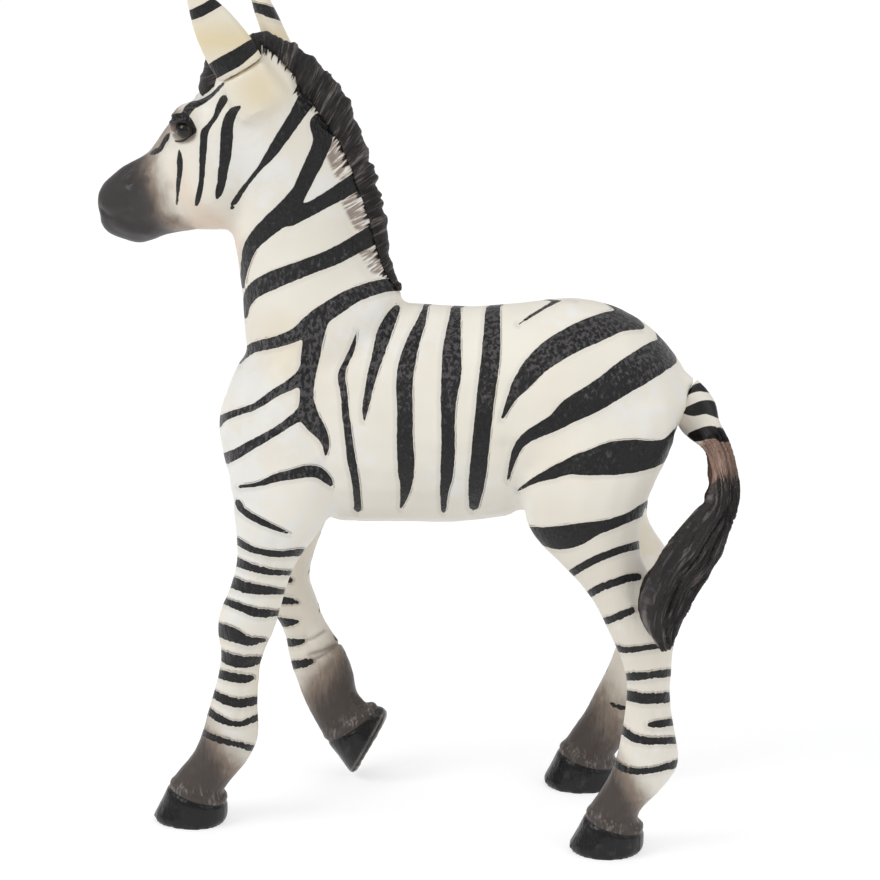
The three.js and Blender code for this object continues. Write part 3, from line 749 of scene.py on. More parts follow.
@dataclass
class Skin:
    """A closed mesh of four-sided faces, as arrays in millimetres."""

    points: np.ndarray
    faces: np.ndarray
    fields: dict[str, np.ndarray] = field(default_factory=dict)
    shrink: float = 0.6
    grow: float = -0.62
    margin: float = 0.002  # kept from the sides of the box

    @classmethod
    def from_mesh(cls, mesh: bpy.types.Mesh) -> "Skin":
        """Reads a mesh whose faces all have four corners, and removes it."""
        points = np.empty(len(mesh.vertices) * 3)
        mesh.vertices.foreach_get("co", points)
        corners = np.empty(len(mesh.loops), np.int64)
        mesh.loops.foreach_get("vertex_index", corners)
        bpy.data.meshes.remove(mesh)
        return cls(points.reshape(-1, 3) / METRES, corners.reshape(-1, 4))

    @classmethod
    def fused(cls, sources: Iterable[bpy.types.Mesh], swell: float, voxel: float) -> "Skin":
        """Fuses closed meshes into one skin.

        Args:
            sources: meshes in metres, with loose or joined faces.
            swell: how far each is pushed out first, to close the glue lines.
            voxel: size of the grid that it is remade on.

        Returns:
            The skin of the largest body, without inner shells.
        """
        whole = bmesh.new()
        for source in sources:
            part = bmesh.new()
            part.from_mesh(source)
            bmesh.ops.remove_doubles(part, verts=part.verts, dist=1e-6)
            part.normal_update()
            moves = [(v, v.normal * min(v.calc_shell_factor(), 2.0) * swell * METRES) for v in part.verts]
            for vertex, move in moves:
                vertex.co += move
            swollen = bpy.data.meshes.new("swollen")
            part.to_mesh(swollen)
            part.free()
            whole.from_mesh(swollen)
            bpy.data.meshes.remove(swollen)
        mesh = bpy.data.meshes.new("fused")
        whole.to_mesh(mesh)
        whole.free()
        remade = with_modifier(mesh, "REMESH", mode="VOXEL", voxel_size=voxel * METRES, adaptivity=0.0)
        return cls.from_mesh(remade).largest_body()

    def edges(self) -> np.ndarray:
        """Returns each edge once, as pairs of vertex numbers."""
        pairs = np.vstack([self.faces[:, [k, (k + 1) % 4]] for k in range(4)])
        return np.unique(np.sort(pairs, axis=1), axis=0)

    def largest_body(self) -> "Skin":
        """Returns the connected body with the most vertices."""
        label = np.arange(len(self.points))
        edges = self.edges()
        while True:
            lower = np.minimum(label[edges[:, 0]], label[edges[:, 1]])
            before = label.copy()
            np.minimum.at(label, edges[:, 0], lower)
            np.minimum.at(label, edges[:, 1], lower)
            label = label[label]
            if (label == before).all():
                break
        keep = label == np.bincount(label).argmax()
        number = np.cumsum(keep) - 1
        return Skin(self.points[keep], number[self.faces[keep[self.faces[:, 0]]]])

    def normals(self) -> np.ndarray:
        """Returns the unit normal at each vertex."""
        a, b, c, d = (self.points[self.faces[:, k]] for k in range(4))
        faced = np.cross(c - a, d - b)
        total = np.zeros_like(self.points)
        for k in range(4):
            for axis in range(3):
                total[:, axis] += np.bincount(self.faces[:, k], faced[:, axis], minlength=len(self.points))
        return total / np.maximum(np.linalg.norm(total, axis=1, keepdims=True), 1e-12)

    def relax(self, rounds: int, strength: np.ndarray | float = 1.0) -> None:
        """Smooths facets away and keeps the volume.

        Args:
            rounds: pairs of a shrinking and a growing pass.
            strength: share of each move that a vertex makes.
        """
        edges = self.edges()
        weight = np.broadcast_to(np.asarray(strength, float), (len(self.points),))[:, None]
        for factor in (self.shrink, self.grow) * rounds:
            mean = np.column_stack([neighbour_mean(edges, column) for column in self.points.T])
            self.points = self.points + factor * weight * (mean - self.points)

    def spread(self, values: np.ndarray, rounds: int) -> np.ndarray:
        """Returns values averaged over neighbours for some rounds."""
        edges = self.edges()
        for _ in range(rounds):
            values = 0.5 * values + 0.5 * neighbour_mean(edges, values)
        return values

    def mesh(self, name: str) -> bpy.types.Mesh:
        """Makes a Blender mesh in metres, with the skin's fields as attributes."""
        made = bpy.data.meshes.new(name)
        made.from_pydata(self.points * METRES, [], self.faces.tolist())
        for key, values in self.fields.items():
            store(made, key, values)
        made.polygons.foreach_set("use_smooth", np.ones(len(made.polygons), bool))
        made.update()
        return made

    def subdivided(self) -> "Skin":
        """Returns the skin with each face parted in four and smoothed."""
        plain = Skin(self.points, self.faces)
        return Skin.from_mesh(with_modifier(plain.mesh("coarse"), "SUBSURF", levels=1, render_levels=1))

    def push(self, height: np.ndarray) -> None:
        """Moves each vertex along its normal by a height."""
        self.points = self.points + self.normals() * height[:, None]

    def keep_inside(self, low: Vector, high: Vector) -> None:
        """Holds every vertex inside a box given in metres."""
        low, high = np.array(low) / METRES + self.margin, np.array(high) / METRES - self.margin
        self.points = np.clip(self.points, low, high)


@dataclass(frozen=True)
class GlueLine:
    """The plane in which a casting is glued on."""

    point: np.ndarray
    normal: np.ndarray

    @classmethod
    def of(cls, node: str, toward: tuple[float, float, float]) -> "GlueLine":
        """Finds the widest flat face of a CAD node that faces a direction.

        Args:
            node: the casting.
            toward: roughly where the glued face looks.

        Returns:
            Its plane, in millimetres, with the normal into the casting.
        """
        mesh = frame["nodes"][node].data
        aim = Vector(toward).normalized()
        areas: dict[tuple, float] = {}
        places: dict[tuple, list] = {}
        for face in mesh.polygons:
            if face.normal.dot(aim) < 0.6:
                continue
            offset = face.normal.dot(face.center) / METRES
            key = (*(round(x, 2) for x in face.normal), round(offset, 1))
            areas[key] = areas.get(key, 0.0) + face.area
            places.setdefault(key, []).append(face)
        flat = places[max(areas, key=areas.get)]
        weight = sum(face.area for face in flat)
        normal = sum((face.normal * face.area for face in flat), Vector()).normalized()
        point = sum((face.center * face.area for face in flat), Vector()) / weight
        return cls(np.array(point) / METRES, -np.array(normal))

    def beyond(self, points: np.ndarray) -> np.ndarray:
        """Returns how far points lie into the casting, in millimetres."""
        return (points - self.point) @ self.normal


# Legs


class Leg(Enum):
    """The four legs, by the side and end of the animal."""

    NEAR_FORE = "left_foreleg"
    FAR_FORE = "right_foreleg"
    NEAR_HIND = "left_hind_leg"
    FAR_HIND = "right_hind_leg"


@dataclass(frozen=True)
class LegPlan:
    """Where one leg runs, in millimetres, and how it is painted."""

    middle: tuple[tuple[float, float], ...]  # along and up, from the shoulder or hip down
    side: float  # sideways place
    coronet: tuple[float, float]
    hoof_up: tuple[float, float]  # from the hoof into the leg, square to the coronet
    sock_start: float  # knots down the middle line where the shading starts
    sock_full: float
    sock_tilt: float  # knots that it starts earlier for each millimetre behind the middle line

    def placed(self, points: np.ndarray) -> tuple[np.ndarray, np.ndarray]:
        """Returns how many knots down the leg points lie, and how far behind its line."""
        knots = np.array(self.middle)
        best = np.full(len(points), np.inf)
        down, across = np.zeros(len(points)), np.zeros(len(points))
        for k, along, share, rest, gap in stretches(points[:, [0, 2]], knots, (-5.0, 5.0)):
            better = gap < best
            square = np.array([-along[1], along[0]]) / np.linalg.norm(along)
            best = np.where(better, gap, best)
            down = np.where(better, k + share, down)
            across = np.where(better, rest @ square, across)
        return down, across

    def at(self, down: np.ndarray, across: np.ndarray) -> np.ndarray:
        """Returns the along and up places for knots down the leg and distances behind it."""
        knots = np.array(self.middle)
        k = np.clip(down.astype(int), 0, len(knots) - 2)
        along = knots[k + 1] - knots[k]
        square = np.stack([-along[:, 1], along[:, 0]], 1)
        square = square / np.linalg.norm(along, axis=1, keepdims=True)
        return knots[k] + (down - k)[:, None] * along + across[:, None] * square


LEGS = {
    Leg.NEAR_FORE: LegPlan(
        (
            (-13.8, 30.7), (-14.5, 27.9), (-15.4, 25), (-16.2, 22.6), (-16.6, 20.4), (-17, 18.2),
            (-17.4, 15.3), (-17.9, 12.5), (-18.2, 9.6), (-19.3, 7), (-20.9, 5), (-21.9, 3.2),
        ),
        MIDDLE - 6.6, (-24.5, 3.75), (0.262, 0.965), 7.0, 9.8, -0.25,
    ),
    Leg.FAR_FORE: LegPlan(
        (
            (-13.3, 30.7), (-13.9, 27.7), (-14.6, 24.7), (-15.2, 22), (-14.9, 19.6), (-13.6, 17.3),
            (-12.6, 15), (-11.7, 12.9), (-11, 10.9), (-10.4, 8.9), (-9.5, 6.9), (-8.7, 5.1),
        ),
        MIDDLE + 8.2, (-10.7, 3.7), (-0.575, 0.818), 5.4, 10.0, 0.35,
    ),
    Leg.NEAR_HIND: LegPlan(
        (
            (17.9, 34.2), (18.9, 31.4), (20.4, 29), (22.3, 26.5), (23.8, 23.9), (24.2, 21), (24.4, 17.9),
            (24.4, 14.9), (24.4, 12.1), (24.2, 9.4), (23.1, 6.9), (21.7, 4.9), (20.9, 3.2),
        ),
        MIDDLE - 8.8, (18.2, 3.75), (0.262, 0.965), 8.4, 11.2, -0.3,
    ),
    Leg.FAR_HIND: LegPlan(
        (
            (17.5, 34), (18.3, 31.3), (19.4, 28.6), (21, 26), (22.3, 23.2), (22.3, 20.3), (21.8, 17.4),
            (21.2, 14.4), (20.6, 11.8), (19.8, 9.2), (18.4, 6.7), (17.1, 4.8), (16.1, 3.2),
        ),
        MIDDLE + 8.8, (13.5, 3.75), (0.262, 0.965), 6.6, 11.6, -0.2,
    ),
}
LIFTED_SOLE_UP = (-0.883, 0.469)
PAIRS = {Leg.FAR_FORE: Leg.NEAR_FORE, Leg.FAR_HIND: Leg.NEAR_HIND}


# Strokes, in pixels of the photograph: across, down and half width


STRIPES = {
    "ribs_1": (
        (357, 330, 0.9), (352.8, 347.8, 2.6), (345, 364.4, 3.2), (341.6, 376.5, 4.2), (343.9, 392.2, 3.8),
        (345.8, 414.4, 3.7), (348.6, 436.7, 4.3), (351.4, 458.9, 4.6), (355.6, 481.1, 4.1),
        (357.5, 500.6, 3.8), (357.8, 508, 4.2),
    ),
    "ribs_2": (
        (396.7, 308, 3.6), (391.7, 317, 6), (384.7, 332.5, 7.6), (379.2, 350.6, 6.4), (373.6, 370, 5.4),
        (369.4, 386.7, 4.6), (365.8, 406.1, 3.4), (363.9, 420, 1.4),
    ),
    "ribs_3": (
        (426, 306, 2.8), (420.8, 322.8, 5), (413.9, 339.4, 6.8), (407.4, 361.7, 8.6), (404.6, 381, 8.6),
        (405, 408.9, 8.2), (405, 436.7, 8.4), (405.8, 464.4, 8.8), (406.1, 483.9, 6.6), (403.6, 497.8, 4),
        (401, 507, 1.8),
    ),
    "ribs_4": (
        (456.1, 307, 5), (454.2, 325.6, 7), (451.8, 350.6, 9.4), (451.4, 372.8, 10), (448.8, 397.8, 8.5),
        (448.1, 420, 7.2), (448.1, 450.6, 7.2), (446.7, 475.6, 6.6), (444.4, 492.2, 4.6),
        (443.6, 510, 2.6),
    ),
    "ribs_5": (
        (494, 292, 7), (493, 306, 7.5), (491, 353, 9.5), (487, 387, 9.5), (484, 414, 9), (480, 452, 9),
        (477, 481, 8.5), (474, 505, 5.5),
    ),
    "loin": ((519, 324, 1.1), (534, 314, 1.7), (551, 304, 1.8), (565, 297.8, 2.3), (577, 299, 1.4)),
    "croup": (
        (503, 417, 2), (512, 398, 5), (521, 384, 9), (539, 362, 12), (566, 343, 13.5), (596, 329, 13.5),
        (620, 321, 11), (641, 325, 5),
    ),
    "rump": (
        (508, 480, 1.5), (512.5, 461, 3.2), (519.5, 445, 5), (531, 435, 6.3), (554.3, 422.9, 8.8),
        (571.4, 410, 12.6), (588.6, 401, 14.2), (605.7, 390.6, 14.6), (622.9, 378.6, 16),
        (640, 367.7, 17), (657.1, 357.1, 16.5), (676, 347, 14), (690, 342, 12),
    ),
    "thigh": (
        (518.6, 490, 1.4), (534, 480.5, 3.4), (551.4, 473.4, 6), (568.6, 467, 8), (580, 464.3, 11),
        (594.3, 462, 13.8), (611.4, 458.6, 16.8), (631.4, 456.3, 17), (648.6, 454.6, 14.4),
        (660, 451.5, 11.5), (668.6, 446, 8.8), (677, 430, 3),
    ),
    "stifle": (
        (530, 529.4, 3.4), (542.9, 536, 9), (560, 537.6, 12.2), (577, 534.6, 11.4), (594, 529, 7.8),
        (611.4, 524, 5.6), (628.6, 517.5, 5), (644.3, 509, 6), (654, 503, 6),
    ),
    "shoulder": (
        (316, 328, 10.5), (312.5, 345, 10.2), (309.5, 362, 9.3), (307, 378, 8.2), (307, 394, 7.2),
        (307.5, 407, 8.3), (311.5, 420, 9.5), (321, 433, 6.5), (325.7, 444, 4), (326, 454, 1.8),
    ),
    "shoulder_front_1": (
        (304, 375, 7), (291.7, 384, 5.8), (275, 393, 4.6), (255.6, 406, 3.8), (233.3, 413.8, 3.6),
        (222, 419, 4.5), (216, 424, 6),
    ),
    "shoulder_front_2": (
        (306, 411, 7), (291.7, 420.6, 5.2), (275, 431.8, 4.3), (255.6, 442.8, 5), (236, 453.9, 5.6),
        (227, 458, 6),
    ),
    "chest": (
        (240.3, 486.7, 1.8), (258.3, 484.2, 2.7), (275, 478.4, 4.5), (291.7, 474.6, 5.5),
        (308.3, 471.2, 6.4), (319.4, 473, 6), (327.8, 479.7, 4.5), (332.2, 486.4, 1.3),
    ),
    "elbow": (
        (238, 503, 3.6), (243, 510.6, 3.6), (252.8, 517.2, 3.6), (269.4, 525.6, 3.2), (283.3, 531.1, 2.2),
        (290, 533.4, 0.9),
    ),
    "yoke": (
        (240, 363, 1.5), (245, 354, 4.5), (255, 347, 5.5), (277, 342, 6.2), (296, 334.5, 7),
        (314, 321, 9.5), (333, 308, 9.5), (357, 294, 8), (383, 286, 7), (398, 285, 6),
    ),
    "neck_4": (
        (380, 231, 10), (359, 243, 9), (333, 257, 8.5), (302, 269, 8.5), (271, 281, 9.5), (254, 291, 8),
        (247, 304, 4.5), (246, 317, 2),
    ),
    "neck_3": ((380, 168, 10), (353, 184, 8.5), (333, 196, 7.5), (312, 208, 7), (290, 218, 8)),
    "neck_2": (
        (322, 125, 12), (322, 143, 9), (310, 170, 8), (298, 194, 7.5), (285, 212, 10), (265, 230, 9),
        (251, 246, 7), (245, 266, 4.5), (242, 286, 2.5),
    ),
    "neck_1": (
        (311, 92, 9), (303, 105, 8), (295, 118, 7), (283, 136, 6), (270, 155, 4.6), (259, 169, 2.2),
        (244, 188, 2), (236, 200, 2.4), (228, 212.5, 2.8), (224, 219, 1.6),
    ),
    "nose_line": ((169, 134, 0.9), (166.8, 138, 1)),
    "forehead": (
        (223, 84, 1), (212, 95, 1.6), (205, 100, 2.3), (198, 103.4, 3), (192, 105.5, 3.6),
        (188.5, 109, 4), (185.8, 113.5, 3.6), (183.6, 118, 2.8),
    ),
    "cheek_1": (
        (179.4, 151, 0.6), (179.8, 160, 2.8), (180, 168, 2.4), (179.4, 176, 2.2), (178, 190, 1.6),
        (176.9, 206, 0.9),
    ),
    "cheek_2": (
        (223.5, 99.5, 3.8), (219.5, 107, 3.4), (215.4, 117, 2), (209.5, 125, 2), (204.6, 133, 3.6),
        (203.6, 145, 3.4), (202.4, 164, 2.8), (201.2, 181.5, 2.4), (198.5, 197, 2.2), (195, 210, 1.2),
    ),
    "cheek_3": (
        (239.4, 107, 1.2), (232.6, 112.8, 4.4), (228, 124, 5.4), (226.4, 141, 5.9), (225.4, 156, 5.4),
        (222.9, 171.5, 4.6), (221.6, 183, 4.2), (219, 192, 3.4), (217.4, 197, 1.6),
    ),
    "nose_side": (
        (166.8, 137.5, 1), (163.7, 142.6, 1.8), (160.5, 148.6, 2), (156.8, 151, 2.2), (153, 152.6, 1.8),
        (148.6, 153.9, 1),
    ),
}

LIDS = {
    "upper": (
        (167, 124, 1.4), (171, 119, 2.4), (177, 116.4, 3.2), (184, 117.4, 3.4), (189.5, 121.8, 3),
        (193.4, 127, 2), (195.6, 131, 1),
    ),
    "lower": ((168, 137, 0.9), (173, 140.6, 1), (180, 141.4, 1), (187, 138.4, 1), (191.6, 133.6, 1)),
}

LEG_BANDS = {
    "hind_1": (
        (566, 577, 3), (571, 573.7, 4), (585, 565, 4.2), (601.6, 557, 4.2), (622, 549.5, 4.2),
        (642.5, 544, 4.2),
    ),
    "hind_2": (
        (586, 597, 3), (589.4, 594, 4), (601, 587.5, 4.2), (613.9, 582.9, 4.2), (627, 578.5, 4.2),
        (638, 577, 4),
    ),
    "hind_3": ((599, 622, 3), (607, 620.5, 3.9), (616, 617.5, 4), (625, 613.5, 4), (632, 610.4, 4)),
    "hind_4": (
        (613, 646.5, 3), (619, 648.8, 3.6), (626, 650.2, 3.4), (642.4, 648.2, 3.2), (658, 646, 3.2),
        (674, 643, 3.4),
    ),
    "hind_5": ((624, 677, 4), (634, 676.6, 4.2), (646.5, 675.7, 4), (669, 672.8, 4)),
    "hind_6": ((624, 694.5, 5.3), (634, 697, 5.7), (646.5, 699, 5.8), (671, 697, 5.2)),
    "hind_7": ((649.5, 724.8, 2.6), (655, 724.3, 3.8), (662, 723.6, 4), (677, 721.4, 4)),
    "hind_8": ((619, 727, 4), (625, 732, 4.2), (634.3, 738, 4.2), (650.6, 741, 4.2), (679, 740, 4)),
    "hind_9": (
        (614, 762, 3), (619, 766, 3.4), (630, 770.6, 3.5), (646.5, 770.9, 3.4), (662, 768, 3.5),
        (680, 762.5, 4),
    ),
    "fore_1": ((237, 541, 4), (254, 550, 3.5), (277, 554, 3.5), (302, 552, 4)),
    "fore_2": ((235, 561, 5), (250, 567, 4), (270, 572, 3.5), (294, 573, 2.5)),
    "fore_3": ((230, 581, 6), (244, 587, 6), (262, 590, 5), (286, 592, 2.5)),
    "fore_4": ((222, 600, 3.5), (240, 607, 4), (258, 613, 5), (281, 613, 3)),
    "fore_5": ((217, 629, 7), (231, 634, 7.5), (248, 641, 5), (264, 640, 2.5)),
    "fore_6": ((219, 654, 5), (232, 660, 6.5), (246, 662, 6), (260, 660, 4)),
    "fore_7": ((216, 673, 4.5), (230, 677, 5), (244, 679, 4.5), (252, 678, 3)),
    "fore_8": ((212, 693, 4), (225, 700, 5), (240, 703, 5), (259, 700, 4.5)),
    "fore_9": ((206, 709, 4), (220, 719, 4), (239, 724, 3), (259, 717, 4)),
    "fore_10": ((200, 731, 3), (217, 739, 3.5), (235, 744, 3.5), (255, 749, 3.5)),
}

FAR_MARKS = {
    "fore_0": ((282, 578, 3), (287, 579.5, 3.6), (291, 580.5, 2.6)),
    "fore_1": ((280, 600, 4), (287, 600.6, 3.8), (294, 601.8, 2.6), (299, 602.6, 1)),
    "fore_2": ((278, 621, 4.4), (285, 622.4, 4.4), (292, 622.4, 3.6), (297, 621.6, 2)),
    "fore_3": ((284, 642, 4), (290, 642.6, 4.2), (297, 642.2, 3.8), (303, 641, 2.4)),
    "fore_4": ((287, 665.6, 4.8), (295, 665, 4.6), (304, 663.4, 4), (311.5, 661.6, 3)),
    "hind_1": ((611, 703.5, 1.2), (616, 706, 2.2), (622, 707.6, 2.4), (629, 707.6, 2.4)),
}

EAR_BANDS = {
    "near_tip": ((180, 19, 5), (194, 14, 5), (205, 9, 5.5), (215, 3, 5.5), (230, -6, 7)),
    "near_base": (
        (203, 77, 7), (216, 69.6, 8.4), (225.4, 64, 8.6), (236.4, 58, 8.4), (247.4, 50.2, 7.4),
        (255.4, 43.8, 5.8), (263, 37.4, 3.6),
    ),
    "far_tip": ((245, 6, 5), (262, 9, 5), (270, 12, 5.5), (290, 19, 4.5)),
}

TAIL_BANDS = {
    "root": ((687, 394, 1.6), (693, 389.6, 3.4), (700, 387, 4.4), (707, 388.6, 3.6), (712, 392, 2)),
    "second": ((684, 411, 2.6), (694, 410, 6), (706, 407, 7), (718, 410, 6), (726, 414, 4)),
    "third": ((690, 438, 5.4), (704, 432.6, 6.4), (716, 431.6, 6.6), (730, 434, 6.6)),
}


# Height in millimetres, softness in pixels, and the line


CARVINGS = {
    "cheek_edge": (-0.24, 4, ((166, 178), (171, 200), (180, 218), (193, 227))),
    "cheek_back": (-0.14, 9, ((243, 130), (243, 160), (238, 190), (228, 216))),
    "face_crest": (0.12, 5, ((176, 147), (164, 160), (152, 172))),
    "under_eye": (-0.14, 4, ((170, 141), (160, 152), (150, 160))),
    "nostril_rim": (0.14, 3.5, ((126, 180), (132, 173), (143, 171), (151, 175))),
    "chin": (0.16, 7, ((116, 226), (128, 232), (142, 234))),
    "lip": (0.12, 4, ((103, 205), (113, 209), (123, 206))),
    "nose_tip": (-0.26, 13, ((93, 190), (93, 204), (97, 216))),
    "nostril_back": (0.12, 3, ((150, 178), (150, 186), (143, 190))),
    "chin_groove": (-0.14, 4, ((122, 220), (132, 224), (142, 222))),
    "flank": (-0.32, 9, ((519, 512), (517, 490), (512, 468), (508, 448))),
    "stifle_fold": (0.16, 12, ((538, 505), (540, 480), (548, 455))),
    "elbow": (-0.24, 8, ((327, 530), (330, 508), (327, 486), (318, 468))),
    "forearm": (-0.14, 7, ((276, 545), (268, 575), (258, 602))),
    "breast": (-0.16, 8, ((236, 500), (262, 512), (286, 530))),
    "shoulder_front": (-0.14, 12, ((262, 350), (252, 390), (250, 430), (262, 470))),
    "fore_knee": (0.16, 8, ((232, 622), (236, 640), (237, 652))),
    "fore_knee_back": (0.14, 5, ((262, 640), (261, 655))),
    "fore_tendon": (-0.15, 3.5, ((246, 668), (243, 690), (240, 712), (238, 728))),
    "fore_pastern": (-0.12, 5, ((226, 762), (212, 770), (196, 768))),
    "hamstring": (-0.16, 6, ((634, 560), (636, 590), (640, 615))),
    "hock": (0.16, 7, ((650, 646), (657, 656))),
    "hind_tendon": (-0.15, 3.5, ((655, 684), (656, 705), (655, 728), (652, 748))),
    "hind_pastern": (-0.12, 5, ((655, 780), (640, 790), (622, 790))),
}


# Fine creases, also painted darker: partly a wash, partly painted shade


CREASES = {
    "nostril": (-0.28, 3.6, ((131, 184), (138, 179), (147, 180))),
    "mouth": (-0.2, 2.0, ((99, 210), (104, 216), (111, 217), (121, 212), (129, 210))),
    "wrinkle_1": (-0.09, 1.8, ((126, 172), (136, 169), (146, 171))),
    "wrinkle_2": (-0.07, 1.6, ((121, 177), (127, 171), (134, 165))),
}

FAR_FORE_FOLDS = {
    "knee_1": (-0.2, 1.5, ((306, 641), (314, 638), (325, 631))),
    "knee_2": (-0.26, 1.6, ((309, 655), (322, 651), (341, 642))),
    "knee_3": (-0.2, 1.5, ((311, 661), (322, 656), (335, 647))),
    "heel_1": (-0.26, 2.0, ((352, 695), (360, 706), (368, 716))),
    "heel_2": (-0.24, 2.0, ((365, 698), (372, 706), (380, 714))),
}


# Lines and places read off the photograph


MANE_EDGE = (
    (258, 41), (268, 50), (280, 62), (291, 76), (297, 92), (306, 101), (322, 122), (336, 142), (347, 163),
    (356, 190), (366, 214), (372, 237), (378, 256), (386, 276), (399, 292), (412, 298),
)
MANE_GUIDE = (
    (204, 88), (208, 68), (221, 54), (236, 48), (250, 52), (268, 66), (284, 84), (300, 106), (318, 130),
    (334, 155), (346, 183), (356, 212), (366, 240), (378, 264), (396, 288),
)
TAWNY = (((334, 148, 9), (343, 170, 9)), ((350, 198, 9), (361, 222, 8)), ((364, 247, 7), (376, 266, 7)))
MUZZLE_EDGE = (
    (176, 112), (170, 126), (163, 137), (155, 148), (153, 162), (156, 178), (160, 195), (166, 211),
    (178, 226), (196, 238), (214, 256),
)
FORELOCK_START = -15.5  # mm along the figure, ahead of which the mane has no white margin
EYE_AT = (179.8, 129.8)
GLINT_AT = (174.8, 132.6)
PIXELS_PER_MM = 10


def struck(
    pixels: np.ndarray, strokes: Iterable[tuple], tip: float = 1.2, margin: float = 30.0, blend: float = 5.0
) -> tuple[np.ndarray, np.ndarray]:
    """Signed distance in pixels to the nearest of some strokes.

    Args:
        pixels: places in the photograph.
        strokes: each a row of across, down and half width.
        tip: length of their pointed ends, by their half width.
        margin: how far off it is worked out.
        blend: how far the corners between joined strokes are rounded.

    Returns:
        The distance, below 0 on a stroke, and how far it lies on the stroke's upper right.
    """
    best = np.full(len(pixels), margin)
    aside = np.zeros(len(pixels))
    for stroke in strokes:
        gap, side = distance_to(pixels, pointed(smooth_run(np.array(stroke, float)), tip), margin)
        aside = np.where(gap < best, side, aside)
        share = np.clip(0.5 + 0.5 * (best - gap) / blend, 0, 1)
        best = best + share * (gap - best) - blend * share * (1 - share)
    return best, aside


def carved(pixels: np.ndarray, lines: Iterable[tuple]) -> np.ndarray:
    """Heights in millimetres that soft lines raise or sink at some pixels."""
    total = np.zeros(len(pixels))
    for height, soft, line in lines:
        run = smooth_run(np.array([(x, y, 0.0) for x, y in line]))
        gap, _ = distance_to(pixels, run, soft * 3)
        total += height * np.exp(-((gap / soft) ** 2)) * (gap < soft * 3)
    return total


def eye_seat() -> np.ndarray:
    """Finds where the photograph's eye meets the casting of the head, in millimetres."""
    right, up, back = PHOTO.axes()
    across = (EYE_AT[0] - PHOTO.aim_pixel[0]) / PHOTO.focal
    down = (EYE_AT[1] - PHOTO.aim_pixel[1]) / PHOTO.focal
    ray = right * across - up * down - back
    hit = tree_of("neck_and_head").ray_cast(Vector(PHOTO.place() * METRES), Vector(ray))[0]
    return np.array(hit) / METRES


# Body


